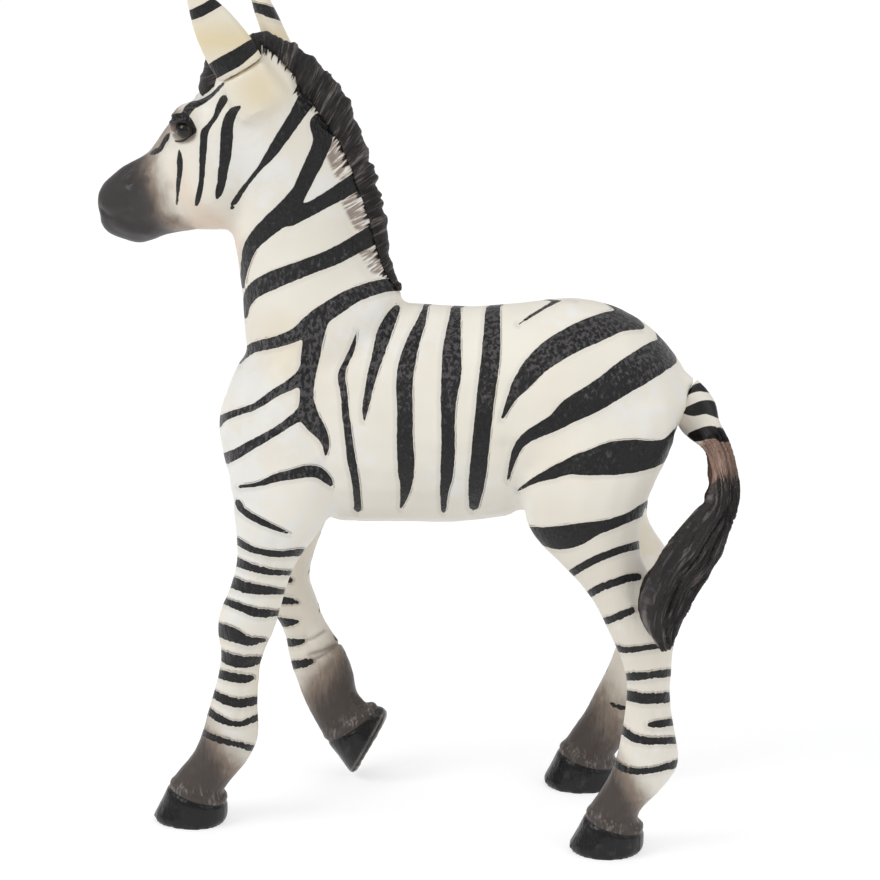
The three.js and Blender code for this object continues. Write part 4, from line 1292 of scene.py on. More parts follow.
@dataclass
class Body:
    """Trunk, neck, head and legs: fused, sculpted, painted, and parted at the glue lines."""

    low: Vector
    high: Vector
    swell: float = 0.17
    voxel: float = 0.46
    rounds: int = 14
    lid_width: float = 1.28  # of the eye's own size, to the top of the lid
    mane_reach: float = 0.0006  # metres from the mane's casting that it covers
    skin: Skin = field(init=False)
    seams: dict[str, GlueLine] = field(init=False)
    seen: np.ndarray = field(init=False)  # pixels of the vertices themselves
    twin: np.ndarray = field(init=False)  # pixels of their twins on the near side
    medial: np.ndarray = field(init=False)
    crease: np.ndarray = field(init=False)
    by_eye: np.ndarray = field(init=False)  # 1 beside an eye, 0 away from it
    brow_middle: np.ndarray = field(init=False)
    part: dict[str, np.ndarray] = field(init=False)

    def build(self) -> None:
        """Fuses and smooths the castings."""
        names = ("trunk", "neck_and_head", "mane", *(leg.value for leg in Leg))
        skin = Skin.fused((frame["nodes"][name].data for name in names), self.swell, self.voxel)
        firm = eased(skin.points[:, 2], 7.0, 4.0) * 0.75
        skin.relax(self.rounds, 1 - firm)
        pixels = PHOTO.project(near_side(skin.points))
        near_root = np.hypot((pixels[:, 0] - 272) / 30, (pixels[:, 1] - 92) / 26)
        root = np.exp(-(near_root**4)) * eased(skin.points[:, 2], 64, 67)
        for axis in range(3):
            softer = skin.spread(skin.points[:, axis], 12)
            skin.points[:, axis] += root * (softer - skin.points[:, axis])
        self.skin = skin.subdivided()
        self.skin.push(np.full(len(self.skin.points), -self.swell))
        self.seams = {"neck_and_head": GlueLine.of("neck_and_head", (0.4, 0.0, -0.9))}
        self.seams |= {leg.value: GlueLine.of(leg.value, (0.0, 0.0, 1.0)) for leg in Leg}
        self.find_twins()

    def find_twins(self) -> None:
        """Works out which part each vertex is on, and its twin on the near side."""
        points = self.skin.points
        x, y, z = points.T
        self.part = {"neck_and_head": self.seams["neck_and_head"].beyond(points)}
        for leg in Leg:
            plan = LEGS[leg]
            fore = x < 0 if "fore" in leg.value else x > 0
            far = y > MIDDLE if plan.side > MIDDLE else y < MIDDLE
            self.part[leg.value] = np.where(fore & far & (z < 36), self.seams[leg.value].beyond(points), -9.0)
        across = y - MIDDLE
        flat = points[:, :2] - POLL[:2]
        ahead = -flat[:, 0] * math.cos(HEAD_TURN) + flat[:, 1] * math.sin(HEAD_TURN)
        beside = flat[:, 1] * math.cos(HEAD_TURN) + flat[:, 0] * math.sin(HEAD_TURN)
        on_head = eased(ahead, -3.0, 3.0) * eased(z, 58.0, 62.0)
        mirrored = points.copy()
        mirrored[:, 1] = MIDDLE - np.sqrt(across**2 + 0.02)
        side = np.where(beside > 0, 2 * beside, 0.0)
        turned = points.copy()
        turned[:, 0] -= side * math.sin(HEAD_TURN)
        turned[:, 1] -= side * math.cos(HEAD_TURN)
        twin = mirrored + on_head[:, None] * (turned - mirrored)
        for far, near in PAIRS.items():
            weight = eased(self.part[far.value], -4.0, 2.0)
            down, behind = LEGS[far].placed(points)
            moved = points.copy()
            moved[:, [0, 2]] = LEGS[near].at(down, behind)
            moved[:, 1] = LEGS[near].side - (points[:, 1] - LEGS[far].side)
            twin += weight[:, None] * (moved - twin)
        self.seen, self.twin = PHOTO.project(points), PHOTO.project(twin)
        self.by_eye = eased(np.linalg.norm(twin - eye_seat(), axis=1), 3.1, 2.2)
        self.brow_middle = eased(np.abs(beside), 1.5, 0.9) * (ahead > 1) * (z > 62)
        normals = self.skin.normals()
        outward = np.where(across > 0, normals[:, 1], -normals[:, 1])
        on_leg = eased(z, 35.0, 29.0)
        self.medial = eased(-outward, 0.0, 0.75) * on_leg
        self.medial += eased(-normals[:, 2], 0.82, 1.0) * (1 - on_leg) * (z < 60)
        self.medial += eased(-normals[:, 2], 0.3, 0.9) * on_head * (z < 66)

    def sculpt(self) -> None:
        """Raises and sinks the forms that the castings' plain lofts leave out."""
        skin = self.skin
        folds = np.where(self.part["right_foreleg"] > 0, carved(self.seen, FAR_FORE_FOLDS.values()), 0.0)
        creases = folds + carved(self.twin, CREASES.values())
        # how much each crease is painted darker, partly as painted shade
        self.crease = np.clip(-creases / 0.2, 0, 1)
        height = carved(self.twin, CARVINGS.values()) + creases
        height += self.eye_relief()
        height += grain(skin.points, 2.6, 3) * 0.05 + grain(skin.points, 1.1, 5) * 0.018
        mane = tree_of("mane")
        upper = np.flatnonzero(skin.points[:, 2] > 50)
        covered = np.zeros(len(skin.points))
        for k in upper:
            covered[k] = mane.find_nearest(Vector(skin.points[k] * METRES), self.mane_reach)[0] is not None
        shown = np.where(skin.points[:, 0] < FORELOCK_START, 1.0, eased(mane_fringe(self.twin), -0.3, 0.4))
        height -= skin.spread(covered, 3) * shown * 0.45
        hoof = self.hoof_distance()
        height += 0.07 * bell(hoof, -0.5, 0.35) - 0.14 * bell(hoof, 0.0, 0.22)
        skin.push(height)
        self.hollow_sole()
        skin.points[:, 2] = np.where(skin.points[:, 2] < 0.12, 0.0, skin.points[:, 2])
        skin.keep_inside(self.low, self.high)

    def eye_relief(self) -> np.ndarray:
        """Returns the heights of the socket, the lids and the brow round each eye."""
        off = (self.twin - EYE_AT) / (8.6, 8.0)
        ring = np.hypot(off[:, 0], off[:, 1])
        across, down = off.T
        lids = -0.75 * eased(ring, 1.06, 0.76) + 0.14 * bell(ring, self.lid_width, 0.16)
        lids += 0.36 * bell(across, 0.0, 1.0) * bell(down, -1.04, 0.28)
        lids -= 0.12 * bell(ring, 1.66, 0.2) + 0.22 * bell(across, 1.25, 0.35) * bell(down, 0.2, 0.22)
        brow = 0.16 * bell(ring, 1.95, 0.3) * (down < -0.4)
        return (lids + brow) * self.by_eye

    def hoof_distance(self) -> np.ndarray:
        """Returns how far into a hoof each vertex lies, below 0 above the coronet."""
        inside = np.full(len(self.skin.points), -9.0)
        for leg, plan in LEGS.items():
            flat = self.skin.points[:, [0, 2]] - np.array(plan.coronet)
            depth = -(flat @ np.array(plan.hoof_up))
            inside = np.where(self.part[leg.value] > 2, depth, inside)
        return inside

    def hollow_sole(self) -> None:
        """Sinks the sole of the lifted hoof inside its rim."""
        points = self.skin.points
        normals = self.skin.normals()
        plan = LEGS[Leg.FAR_FORE]
        facing = -normals[:, [0, 2]] @ np.array(LIFTED_SOLE_UP)
        sole = (self.part["right_foreleg"] > 10) & (facing > 0.8) & (self.hoof_distance() > 1)
        if not sole.any():
            return
        centre = points[sole].mean(0)
        reach = np.linalg.norm(points[sole] - centre, axis=1).max()
        far = np.linalg.norm(points - centre, axis=1) / reach
        push = np.where(sole, -0.35 * eased(far, 0.82, 0.7), 0.0)
        self.skin.points = points + normals * push[:, None]

    def paint(self) -> None:
        """Works out the paint at each vertex."""
        skin, pixels = self.skin, self.twin
        x, y, z = skin.points.T
        across, down = pixels.T
        body, aside = struck(pixels, STRIPES.values())
        bands, above = struck(pixels, LEG_BANDS.values(), tip=0.3)
        aside = np.where(bands < body, above, aside)
        lids = struck(pixels, LIDS.values())[0] / PIXELS_PER_MM + 3 * (1 - self.by_eye)
        body = body + 30 * self.brow_middle
        stripe = np.minimum(body, bands) / PIXELS_PER_MM + 0.04 - 0.06 * eased(z, 56, 62) + self.medial * 1.5
        stripe = np.minimum(stripe, lids)
        stripe = np.where(np.maximum.reduce([self.part[leg.value] for leg in Leg]) > 26, 3.0, stripe)
        marks = struck(self.seen, FAR_MARKS.values(), tip=0.6)[0] / PIXELS_PER_MM + 0.03
        inner = (y > MIDDLE + 2) & (y < MIDDLE + 8.6) & (z < 27)
        stripe = np.where(inner, np.minimum(stripe, marks), stripe)
        fringe = np.where((z > 50) & (x < -1), mane_fringe(pixels), -3.0)
        from_muzzle, _ = side_of(pixels, line_of(MUZZLE_EDGE), 60)
        face = (z > 55) & (x < -14)
        charcoal_and_shade = np.where(face, eased(from_muzzle + 4 * grain(skin.points, 1.3, 41), 27, -30), 0.0)
        sock = np.zeros(len(skin.points))
        for leg, plan in LEGS.items():
            knots, behind = plan.placed(skin.points)
            shaded = eased(knots + plan.sock_tilt * behind, plan.sock_start, plan.sock_full)
            sock = np.where(self.part[leg.value] > 1, shaded, sock)
        warm = 0.9 * bell(across, 260, 25) * bell(down, 88, 25)
        warm += 0.7 * bell(across, 240, 16) * bell(down, 36, 16)
        warm += 0.35 * eased(grain(skin.points, 9.0, 11), 0.2, 0.8)
        blush = 0.6 * bell(across, 190, 24) * bell(down, 226, 9)
        blush += 0.5 * bell(from_muzzle, 24, 11) * face * eased(down, 140, 190)
        # Chisel relief over the shoulder, and more painted sheen on the stripes where the surface faces up
        chisel_and_sheen_weight = bell(across, 300, 75) * bell(down, 370, 95)
        chisel_and_sheen_weight += 0.8 * eased(skin.normals()[:, 2], 0.15, 0.75) * (z > 36)
        skin.fields = {
            "stripe": np.clip(stripe, -3, 3),
            "aside": aside * eased(z, 66, 56),
            "fringe": np.clip(fringe, -3, 3),
            # charcoal paint on the muzzle, with painted shade on the lids and corners of the eyes
            "charcoal_and_shade": np.maximum(charcoal_and_shade, self.lid_shade()),
            "sock": sock,
            "hoof": np.clip(self.hoof_distance(), -3, 3),
            "warm": np.clip(warm, 0, 1),
            "blush": np.clip(blush, 0, 1),
            "tawny": tawny_at(pixels) * (z > 50),
            "furred": np.clip(0.15 + sock + 0.6 * eased(z, 33, 26), 0, 1),
            "chisel_and_sheen": np.clip(chisel_and_sheen_weight, 0, 1.2),
            "rim": self.sole_rim(),
            "crease": self.crease,
            "strand": hair_lie(pixels),
            "facing": skin.normals(),
        }

    def lid_shade(self) -> np.ndarray:
        """Returns how dark the lids and corners of the eyes are."""
        across, down = self.twin[:, 0] - EYE_AT[0], self.twin[:, 1] - EYE_AT[1]
        reach = np.where(across > 0, 17.5, 11.5)
        ring = np.hypot((across - 0.25 * down) / reach, down / 14.5)
        upper = 0.55 + 0.35 * eased(down, -1.0, -7.0)
        return eased(ring, 1.15, 0.75) * self.by_eye * upper

    def sole_rim(self) -> np.ndarray:
        """Returns where the lifted hoof has painted highlight lines along its rim."""
        mine = self.part["right_foreleg"] > 10
        low = -self.skin.points[:, [0, 2]] @ np.array(LIFTED_SOLE_UP)
        above = low[mine].max() - low
        lines = bell(above, 0.14, 0.13) + 0.9 * bell(above, 0.58, 0.1)
        return np.where(mine & (above < 2), lines, 0.0)

    def part_pieces(self, paint: bpy.types.Material) -> list[bpy.types.Object]:
        """Parts the skin at its glue lines into one closed piece for each casting.

        Args:
            paint: the material of every piece.

        Returns:
            The pieces.
        """
        whole = bmesh.new()
        mesh = self.skin.mesh("whole")
        whole.from_mesh(mesh)
        bpy.data.meshes.remove(mesh)
        every = list(whole.faces)
        centres = self.skin.points[self.skin.faces].mean(1)
        for name, seam in self.seams.items():
            close = (np.abs(seam.beyond(centres)) < 1.5) & self.quarter(name, centres)
            near = [every[k] for k in np.flatnonzero(close)]
            corners = {v for f in near for v in f.verts}
            sides = {e for f in near for e in f.edges}
            geometry = [*corners, *sides, *near]
            place, normal = Vector(seam.point * METRES), Vector(seam.normal)
            bmesh.ops.bisect_plane(whole, geom=geometry, dist=1e-7, plane_co=place, plane_no=normal)
        centres = np.array([f.calc_center_median() for f in whole.faces]) / METRES
        owner = np.full(len(centres), "trunk", dtype="U16")
        for name, seam in self.seams.items():
            owner[self.quarter(name, centres) & (seam.beyond(centres) > 0)] = name
        pieces = []
        slots = {"trunk": "painted_body", "neck_and_head": "painted_body"}
        slots |= {leg.value: "painted_legs" for leg in Leg}
        for name, slot in slots.items():
            copy = whole.copy()
            copy.faces.ensure_lookup_table()
            extra = [f for f, who in zip(copy.faces, owner) if who != name]
            bmesh.ops.delete(copy, geom=extra, context="FACES")
            rim = [e for e in copy.edges if e.is_boundary]
            caps = bmesh.ops.holes_fill(copy, edges=rim, sides=0)["faces"]
            for cap in caps:
                cap.smooth = False
            made = bpy.data.meshes.new(name + "_casting")
            copy.to_mesh(made)
            copy.free()
            self.keep_normals(made)
            pieces.append(piece_of(made, name + "_casting", name, paint))
        whole.free()
        return pieces

    @staticmethod
    def keep_normals(mesh: bpy.types.Mesh) -> None:
        """Gives a piece the whole skin's normals, so that no light edge shows at a glue line."""
        facing = np.empty(len(mesh.vertices) * 3, np.float32)
        mesh.attributes["facing"].data.foreach_get("vector", facing)
        facing = facing.reshape(-1, 3)
        corners = np.empty(len(mesh.loops), np.int64)
        mesh.loops.foreach_get("vertex_index", corners)
        loops = facing[corners]
        for face in mesh.polygons:
            if not face.use_smooth:
                loops[face.loop_start:face.loop_start + face.loop_total] = 0.0
        mesh.attributes.remove(mesh.attributes["facing"])
        mesh.normals_split_custom_set(loops)

    @staticmethod
    def quarter(name: str, points: np.ndarray) -> np.ndarray:
        """Tells which points lie in the region where a casting can be."""
        x, y, z = points.T
        if name == "neck_and_head":
            return z > 44
        return (z < 36) & ((x < 0) == ("foreleg" in name)) & ((y < MIDDLE) == name.startswith("left"))


# Lie of the hair


def hair_lie(pixels: np.ndarray, lean: float = 0.72, length: float = 370.0) -> np.ndarray:
    """Works out how the mane's strands lie at some pixels.

    Args:
        pixels: places in the photograph.
        lean: how far they lean to the poll at the poll.
        length: pixels down the mane to where they stand square to it.

    Returns:
        Places across the strands and along them, in millimetres.
    """
    beside, passed = side_of(pixels, line_of(MANE_GUIDE), 80)
    leaned = passed + lean * (1 - passed / length) * beside
    return np.stack([leaned, beside, np.zeros(len(pixels))], 1) / PIXELS_PER_MM


def mane_fringe(pixels: np.ndarray) -> np.ndarray:
    """Returns how far pixels lie inside the dark hair of the mane, in millimetres."""
    return side_of(pixels, line_of(MANE_EDGE), 40)[0] / PIXELS_PER_MM


def near_side(points: np.ndarray) -> np.ndarray:
    """Returns points with those of the far side mirrored to the near side."""
    return np.column_stack([points[:, 0], MIDDLE - np.abs(points[:, 1] - MIDDLE), points[:, 2]])


def tawny_at(pixels: np.ndarray) -> np.ndarray:
    """Returns how brown the patches beside the mane are at some pixels."""
    total = np.zeros(len(pixels))
    for patch in TAWNY:
        total = np.maximum(total, eased(struck(pixels, [patch])[0], 6, -7))
    return total


# Hair


def grown(
    path: np.ndarray,
    fields: dict[str, np.ndarray],
    runs: list[tuple[int, int]],
    tree: bpy.types.NodeTree,
    values: dict,
) -> bpy.types.Mesh:
    """Grows hair locks along a path.

    Args:
        path: its points, in millimetres.
        fields: named values at its points.
        runs: first and last point of each run of the path.
        tree: the geometry nodes that grow the locks.
        values: the tree's inputs, by name.

    Returns:
        The locks as a plain mesh in metres.
    """
    mesh = bpy.data.meshes.new("hair_path")
    mesh.from_pydata(path * METRES, [(k, k + 1) for first, last in runs for k in range(first, last)], [])
    for name, numbers in fields.items():
        store(mesh, name, numbers)
    holder = linked("hair_path", mesh)
    modifier = holder.modifiers.new("locks", "NODES")
    modifier.node_group = tree
    for item in tree.interface.items_tree:
        if item.item_type == "SOCKET" and item.in_out == "INPUT" and item.name in values:
            modifier[item.identifier] = values[item.name]
    return worked(holder)


class LockSheet(Sheet):
    """A geometry node tree that grows locks, with a mesh in, named inputs and a mesh out."""

    def __init__(self, name: str, inputs: dict[str, tuple[str, object]]) -> None:
        """Starts the tree.

        Args:
            name: the tree's name.
            inputs: the type and default of each named input.
        """
        super().__init__(bpy.data.node_groups.new(name, "GeometryNodeTree"))
        sockets = self.tree.interface
        sockets.new_socket("Path", in_out="INPUT", socket_type="NodeSocketGeometry")
        for key, (kind, value) in inputs.items():
            sockets.new_socket(key, in_out="INPUT", socket_type="NodeSocket" + kind).default_value = value
        sockets.new_socket("Finish", in_out="INPUT", socket_type="NodeSocketMaterial")
        sockets.new_socket("Locks", in_out="OUTPUT", socket_type="NodeSocketGeometry")
        self.start = self.node("NodeGroupInput")

    def given(self, name: str) -> Wire:
        """Returns one of the tree's inputs."""
        return Wire(self, self.start.outputs[name])

    def named(self, name: str) -> Wire:
        """Returns what the path holds under a name."""
        return self.wire("GeometryNodeInputNamedAttribute", 0, {"data_type": "FLOAT"}, {"Name": name})

    def random(self, low: float, high: float, **more: object) -> Wire:
        """Returns a random number between two numbers, from a Seed and perhaps an ID."""
        return self.wire("FunctionNodeRandomValue", 1, {"data_type": "FLOAT"}, {2: low, 3: high} | more)

    def tube(self, curve: Wire, corners: int, size: Wire) -> Wire:
        """Returns closed tubes round a curve, each point with its own radius."""
        inputs = {"Resolution": corners, "Radius": 1.0}
        ring = self.wire("GeometryNodeCurvePrimitiveCircle", "Curve", None, inputs)
        inputs = {"Curve": curve, "Profile Curve": ring, "Scale": size, "Fill Caps": True}
        return self.wire("GeometryNodeCurveToMesh", "Mesh", None, inputs)

    def dressed(self, locks: Wire) -> bpy.types.NodeTree:
        """Ends the tree with real locks in their finish, and returns it."""
        real = self.wire("GeometryNodeRealizeInstances", "Geometry", None, {"Geometry": locks})
        inputs = {"Geometry": real, "Material": self.given("Finish")}
        finished = self.wire("GeometryNodeSetMaterial", "Geometry", None, inputs)
        self.node("NodeGroupOutput", None, {"Locks": finished})
        return self.tree


@dataclass
class Mane:
    """Upright mane of moulded locks, from the withers over the poll to the forelock."""

    low: Vector
    high: Vector
    lock_radius: float = 0.42
    lean: float = 0.5  # how far the locks lie back along the crest, by their rise
    spacing: float = 0.62
    seed: int = 4
    splay: float = 0.12
    jitter: tuple = (0.16, 0.1, 0.16)
    sizes: tuple = (0.82, 1.12)  # smallest and largest lock
    bend: tuple = (0.0002, 0, 0.0014)  # middle and tip of a lock, in metres
    tip: tuple = (0, 0, 0.0027)
    voxel: float = 0.3
    crest: tuple = (
        (-3.4, 0.0, 55.2), (-5.4, 0.0, 57.9), (-6.6, 0.0, 60.7), (-7.4, 0.0, 63.8), (-8.5, 0.0, 67.2),
        (-10.0, 0.0, 70.7), (-11.9, 0.0, 73.7), (-14.2, 0.2, 75.6), (-16.3, 0.6, 76.1),
        (-18.4, 1.0, 75.6), (-19.7, 1.4, 74.9),
    )
    side_rows: tuple = (-0.8, 0.0, 0.8)
    end_sizes: tuple = (0.45, 1.0, 1.0, 0.75)

    def tree(self) -> bpy.types.NodeTree:
        """Builds the nodes that set tapered locks along the crest.

        Returns:
            The tree.
        """
        sheet = LockSheet("crest_locks", {
            "Spacing": ("Float", 0.0006), "Radius": ("Float", 0.0005), "Lean": ("Float", 0.5),
            "Seed": ("Int", 4),
        })
        curve = sheet.wire("GeometryNodeMeshToCurve", "Curve", None, {"Mesh": sheet.given("Path")})
        inputs = {"Curve": curve, "Length": sheet.given("Spacing")}
        dense = sheet.wire("GeometryNodeResampleCurve", "Curve", {"mode": "LENGTH"}, inputs)
        tangent = sheet.wire("GeometryNodeInputTangent", "Tangent")
        outward = sheet.vector("CROSS_PRODUCT", SIDEWAYS, tangent)
        inputs = {0: tuple(-part for part in self.jitter), 1: self.jitter, "Seed": sheet.given("Seed")}
        jitter = sheet.wire("FunctionNodeRandomValue", 0, {"data_type": "FLOAT_VECTOR"}, inputs)
        aim = sheet.vector("ADD", outward, sheet.scaled(tangent, sheet.given("Lean")))
        aim = sheet.vector("ADD", aim, jitter)
        aim = sheet.vector("ADD", aim, sheet.scaled(SIDEWAYS, sheet.named("side") * self.splay))
        turn = sheet.wire("FunctionNodeAlignRotationToVector", 0, {"axis": "Z"}, {"Vector": aim})
        size = sheet.random(*self.sizes, Seed=sheet.given("Seed")) * sheet.named("size")
        inputs = {"Resolution": 7, "Start": (0, 0, 0), "Middle": self.bend, "End": self.tip}
        spine = sheet.wire("GeometryNodeCurveQuadraticBezier", "Curve", None, inputs)
        along = sheet.wire("GeometryNodeSplineParameter", "Factor")
        lock = sheet.tube(spine, 7, (1 - along * along * 0.85) * sheet.given("Radius"))
        inputs = {"Points": dense, "Instance": lock, "Rotation": turn, "Scale": size}
        return sheet.dressed(sheet.wire("GeometryNodeInstanceOnPoints", "Instances", None, inputs))

    def build(self, paint: bpy.types.Material) -> bpy.types.Object:
        """Grows the locks, fuses them with the casting and paints them.

        Args:
            paint: the hair's material.

        Returns:
            The piece.
        """
        knots = np.array(self.crest) + (0.0, MIDDLE, 0.0)
        rows, sides, runs = [], [], []
        sizes = np.interp(np.arange(len(knots)), (0, 2, len(knots) - 3, len(knots) - 1), self.end_sizes)
        for side in self.side_rows:
            shifted = knots + (0.0, side, 0.0)
            runs.append((len(rows) * len(knots), (len(rows) + 1) * len(knots) - 1))
            rows.append(shifted)
            sides.append(np.full(len(knots), side))
        values = {
            "Spacing": self.spacing * METRES, "Radius": self.lock_radius * METRES, "Lean": self.lean,
            "Seed": self.seed, "Finish": paint,
        }
        fields = {"side": np.concatenate(sides), "size": np.tile(sizes, len(rows))}
        locks = grown(np.vstack(rows), fields, runs, self.tree(), values)
        skin = Skin.fused((frame["nodes"]["mane"].data, locks), 0.05, self.voxel)
        bpy.data.meshes.remove(locks)
        skin.relax(1)
        skin = skin.subdivided()
        pixels = PHOTO.project(near_side(skin.points))
        strand = hair_lie(pixels)
        locks = 0.12 * grain(strand * (1, 0.08, 0), 0.95, 9) + 0.15 * grain(strand * (1, 0.1, 0), 0.48, 7)
        fringe = np.where(skin.points[:, 0] < FORELOCK_START, 1.0, mane_fringe(pixels))
        locks = locks * 1.7 + 0.08 * grain(strand * (1, 0.1, 0), 0.24, 8) - 0.14
        skin.push(locks - 1.0 * eased(fringe, 0.3, -0.4))
        skin.keep_inside(self.low, self.high)
        skin.fields = {
            "strand": strand,
            "tawny": tawny_at(pixels),
            "banded": np.full(len(pixels), -1.0),
            "stripe": np.full(len(pixels), 3.0),
        }
        return piece_of(skin.mesh("mane_locks"), "mane_locks", "mane", paint)


@dataclass
class Tail:
    """Tail of long locks that swings out to the left, banded at the root."""

    low: Vector
    high: Vector
    locks: int = 13
    lock_radius: float = 0.72
    twist: float = 1.1  # radians from root to tip
    seed: int = 2
    voxel: float = 0.3
    path: tuple = (
        (27.0, 1.1, 44.9), (27.9, 0.7, 43.6), (28.8, -0.1, 42.4), (30.2, -1.5, 40.9), (30.9, -3.1, 39.3),
        (31.2, -4.7, 37.6), (30.9, -6.3, 36.1), (30.0, -7.7, 34.5), (28.9, -9.1, 32.7),
        (27.7, -10.3, 31.1), (26.6, -11.1, 29.0), (25.9, -11.5, 26.7), (25.9, -11.6, 24.9),
        (26.3, -11.6, 23.7),
    )
    broad: tuple = (0.85, 0.9, 0.95, 1.05, 1.2, 1.35, 1.5, 1.7, 1.9, 2.05, 1.95, 1.7, 1.25, 0.6)
    deep: tuple = (0.85, 0.9, 0.9, 1.0, 1.15, 1.25, 1.3, 1.35, 1.35, 1.3, 1.2, 1.0, 0.75, 0.4)

    def tree(self) -> bpy.types.NodeTree:
        """Builds the nodes that lay tapered locks round the path.

        Returns:
            The tree.
        """
        sheet = LockSheet("tail_locks", {
            "Locks": ("Int", 13), "Radius": ("Float", 0.0007), "Twist": ("Float", 1.0), "Seed": ("Int", 2),
        })
        curve = sheet.wire("GeometryNodeMeshToCurve", "Curve", None, {"Mesh": sheet.given("Path")})
        inputs = {"Curve": curve, "Count": 44}
        dense = sheet.wire("GeometryNodeResampleCurve", "Curve", {"mode": "COUNT"}, inputs)
        inputs = {"Geometry": dense, "Amount": sheet.given("Locks")}
        copies = sheet.node("GeometryNodeDuplicateElements", {"domain": "SPLINE"}, inputs)
        number = Wire(sheet, copies.outputs["Duplicate Index"])
        along = sheet.wire("GeometryNodeSplineParameter", "Factor")
        loose = sheet.random(-0.3, 0.3, ID=number, Seed=sheet.given("Seed"))
        inset = sheet.random(0.55, 0.95, ID=number, Seed=8)
        short = sheet.random(0.88, 1.0, ID=number, Seed=5)
        wave = sheet.sum("SINE", along * 7 + number * 2.4, 0.0) * 0.16
        angle = number * (2 * math.pi) / sheet.given("Locks") + loose + wave + along * sheet.given("Twist")
        tangent = sheet.wire("GeometryNodeInputTangent", "Tangent")
        across = sheet.vector("CROSS_PRODUCT", tangent, SIDEWAYS)
        depth = sheet.vector("NORMALIZE", sheet.vector("CROSS_PRODUCT", across, tangent))
        breadth = sheet.vector("CROSS_PRODUCT", tangent, depth)
        broad, deep = sheet.named("broad"), sheet.named("deep")
        shift = sheet.vector(
            "ADD",
            sheet.scaled(breadth, sheet.sum("COSINE", angle, 0.0) * broad * inset * METRES),
            sheet.scaled(depth, sheet.sum("SINE", angle, 0.0) * deep * inset * METRES),
        )
        inputs = {"Geometry": copies.outputs["Geometry"], "Offset": shift}
        moved = sheet.wire("GeometryNodeSetPosition", "Geometry", None, inputs)
        ending = sheet.sum("MAXIMUM", sheet.sum("MINIMUM", (short - along) * 9, 1.0), 0.04)
        return sheet.dressed(sheet.tube(moved, 8, sheet.given("Radius") * (0.55 + broad * 0.2) * ending))

    def build(self, paint: bpy.types.Material) -> bpy.types.Object:
        """Lays the locks, fuses them with the casting and paints them.

        Args:
            paint: the tail's material.

        Returns:
            The piece.
        """
        path = smooth_run(np.array(self.path), 4)
        girth = smooth_run(np.stack([self.broad, self.deep], 1), 4)
        values = {"Locks": self.locks, "Radius": self.lock_radius * METRES, "Twist": self.twist}
        values |= {"Seed": self.seed, "Finish": paint}
        fields = {"broad": girth[:, 0], "deep": girth[:, 1]}
        locks = grown(path, fields, [(0, len(path) - 1)], self.tree(), values)
        skin = Skin.fused((frame["nodes"]["tail"].data, locks), 0.12, self.voxel)
        bpy.data.meshes.remove(locks)
        skin.relax(1)
        skin = skin.subdivided()
        pixels = PHOTO.project(skin.points)
        along, angle = self.around(skin.points, path)
        strand = np.stack([np.sin(angle) * 2 + angle * 1.6, along, np.zeros(len(along))], 1)
        hairy = eased(along, 3.5, 6.0)
        clefts = -0.42 * bell(grain(strand * (1, 0.08, 0), 0.75, 23), 0.0, 0.14)
        fine = 0.22 * grain(strand * (1, 0.1, 0), 0.42, 21) + 0.16 * grain(strand * (1, 0.16, 0), 0.22, 22)
        skin.push(hairy * (clefts + fine) - 0.36 * eased(along, 17.0, 12.0) * eased(along, 1.5, 4.0))
        skin.keep_inside(self.low, self.high)
        stripe = struck(pixels, TAIL_BANDS.values())[0] / PIXELS_PER_MM
        skin.fields = {
            "strand": strand,
            "tawny": eased(along, 4.0, 5.5) * eased(along, 13.0, 6.0),
            "banded": np.clip((5.0 - along) / 2, -1, 1),
            "stripe": np.clip(stripe, -3, 3),
        }
        return piece_of(skin.mesh("tail_locks"), "tail_locks", "tail", paint)

    @staticmethod
    def around(points: np.ndarray, path: np.ndarray) -> tuple[np.ndarray, np.ndarray]:
        """Returns how far along the path points lie, and their angle round it."""
        lengths = np.concatenate([[0], np.cumsum(np.linalg.norm(np.diff(path, axis=0), axis=1))])
        best = np.full(len(points), np.inf)
        along, angle = np.zeros(len(points)), np.zeros(len(points))
        for k, run, share, rest, gap in stretches(points, path):
            depth = np.cross(np.cross(run, SIDEWAYS), run)
            depth = depth / np.linalg.norm(depth)
            breadth = np.cross(run / np.linalg.norm(run), depth)
            better = gap < best
            best = np.where(better, gap, best)
            along = np.where(better, lengths[k] + share * np.linalg.norm(run), along)
            angle = np.where(better, np.arctan2(rest @ depth, rest @ breadth), angle)
        return along, angle


# Ears and eyes


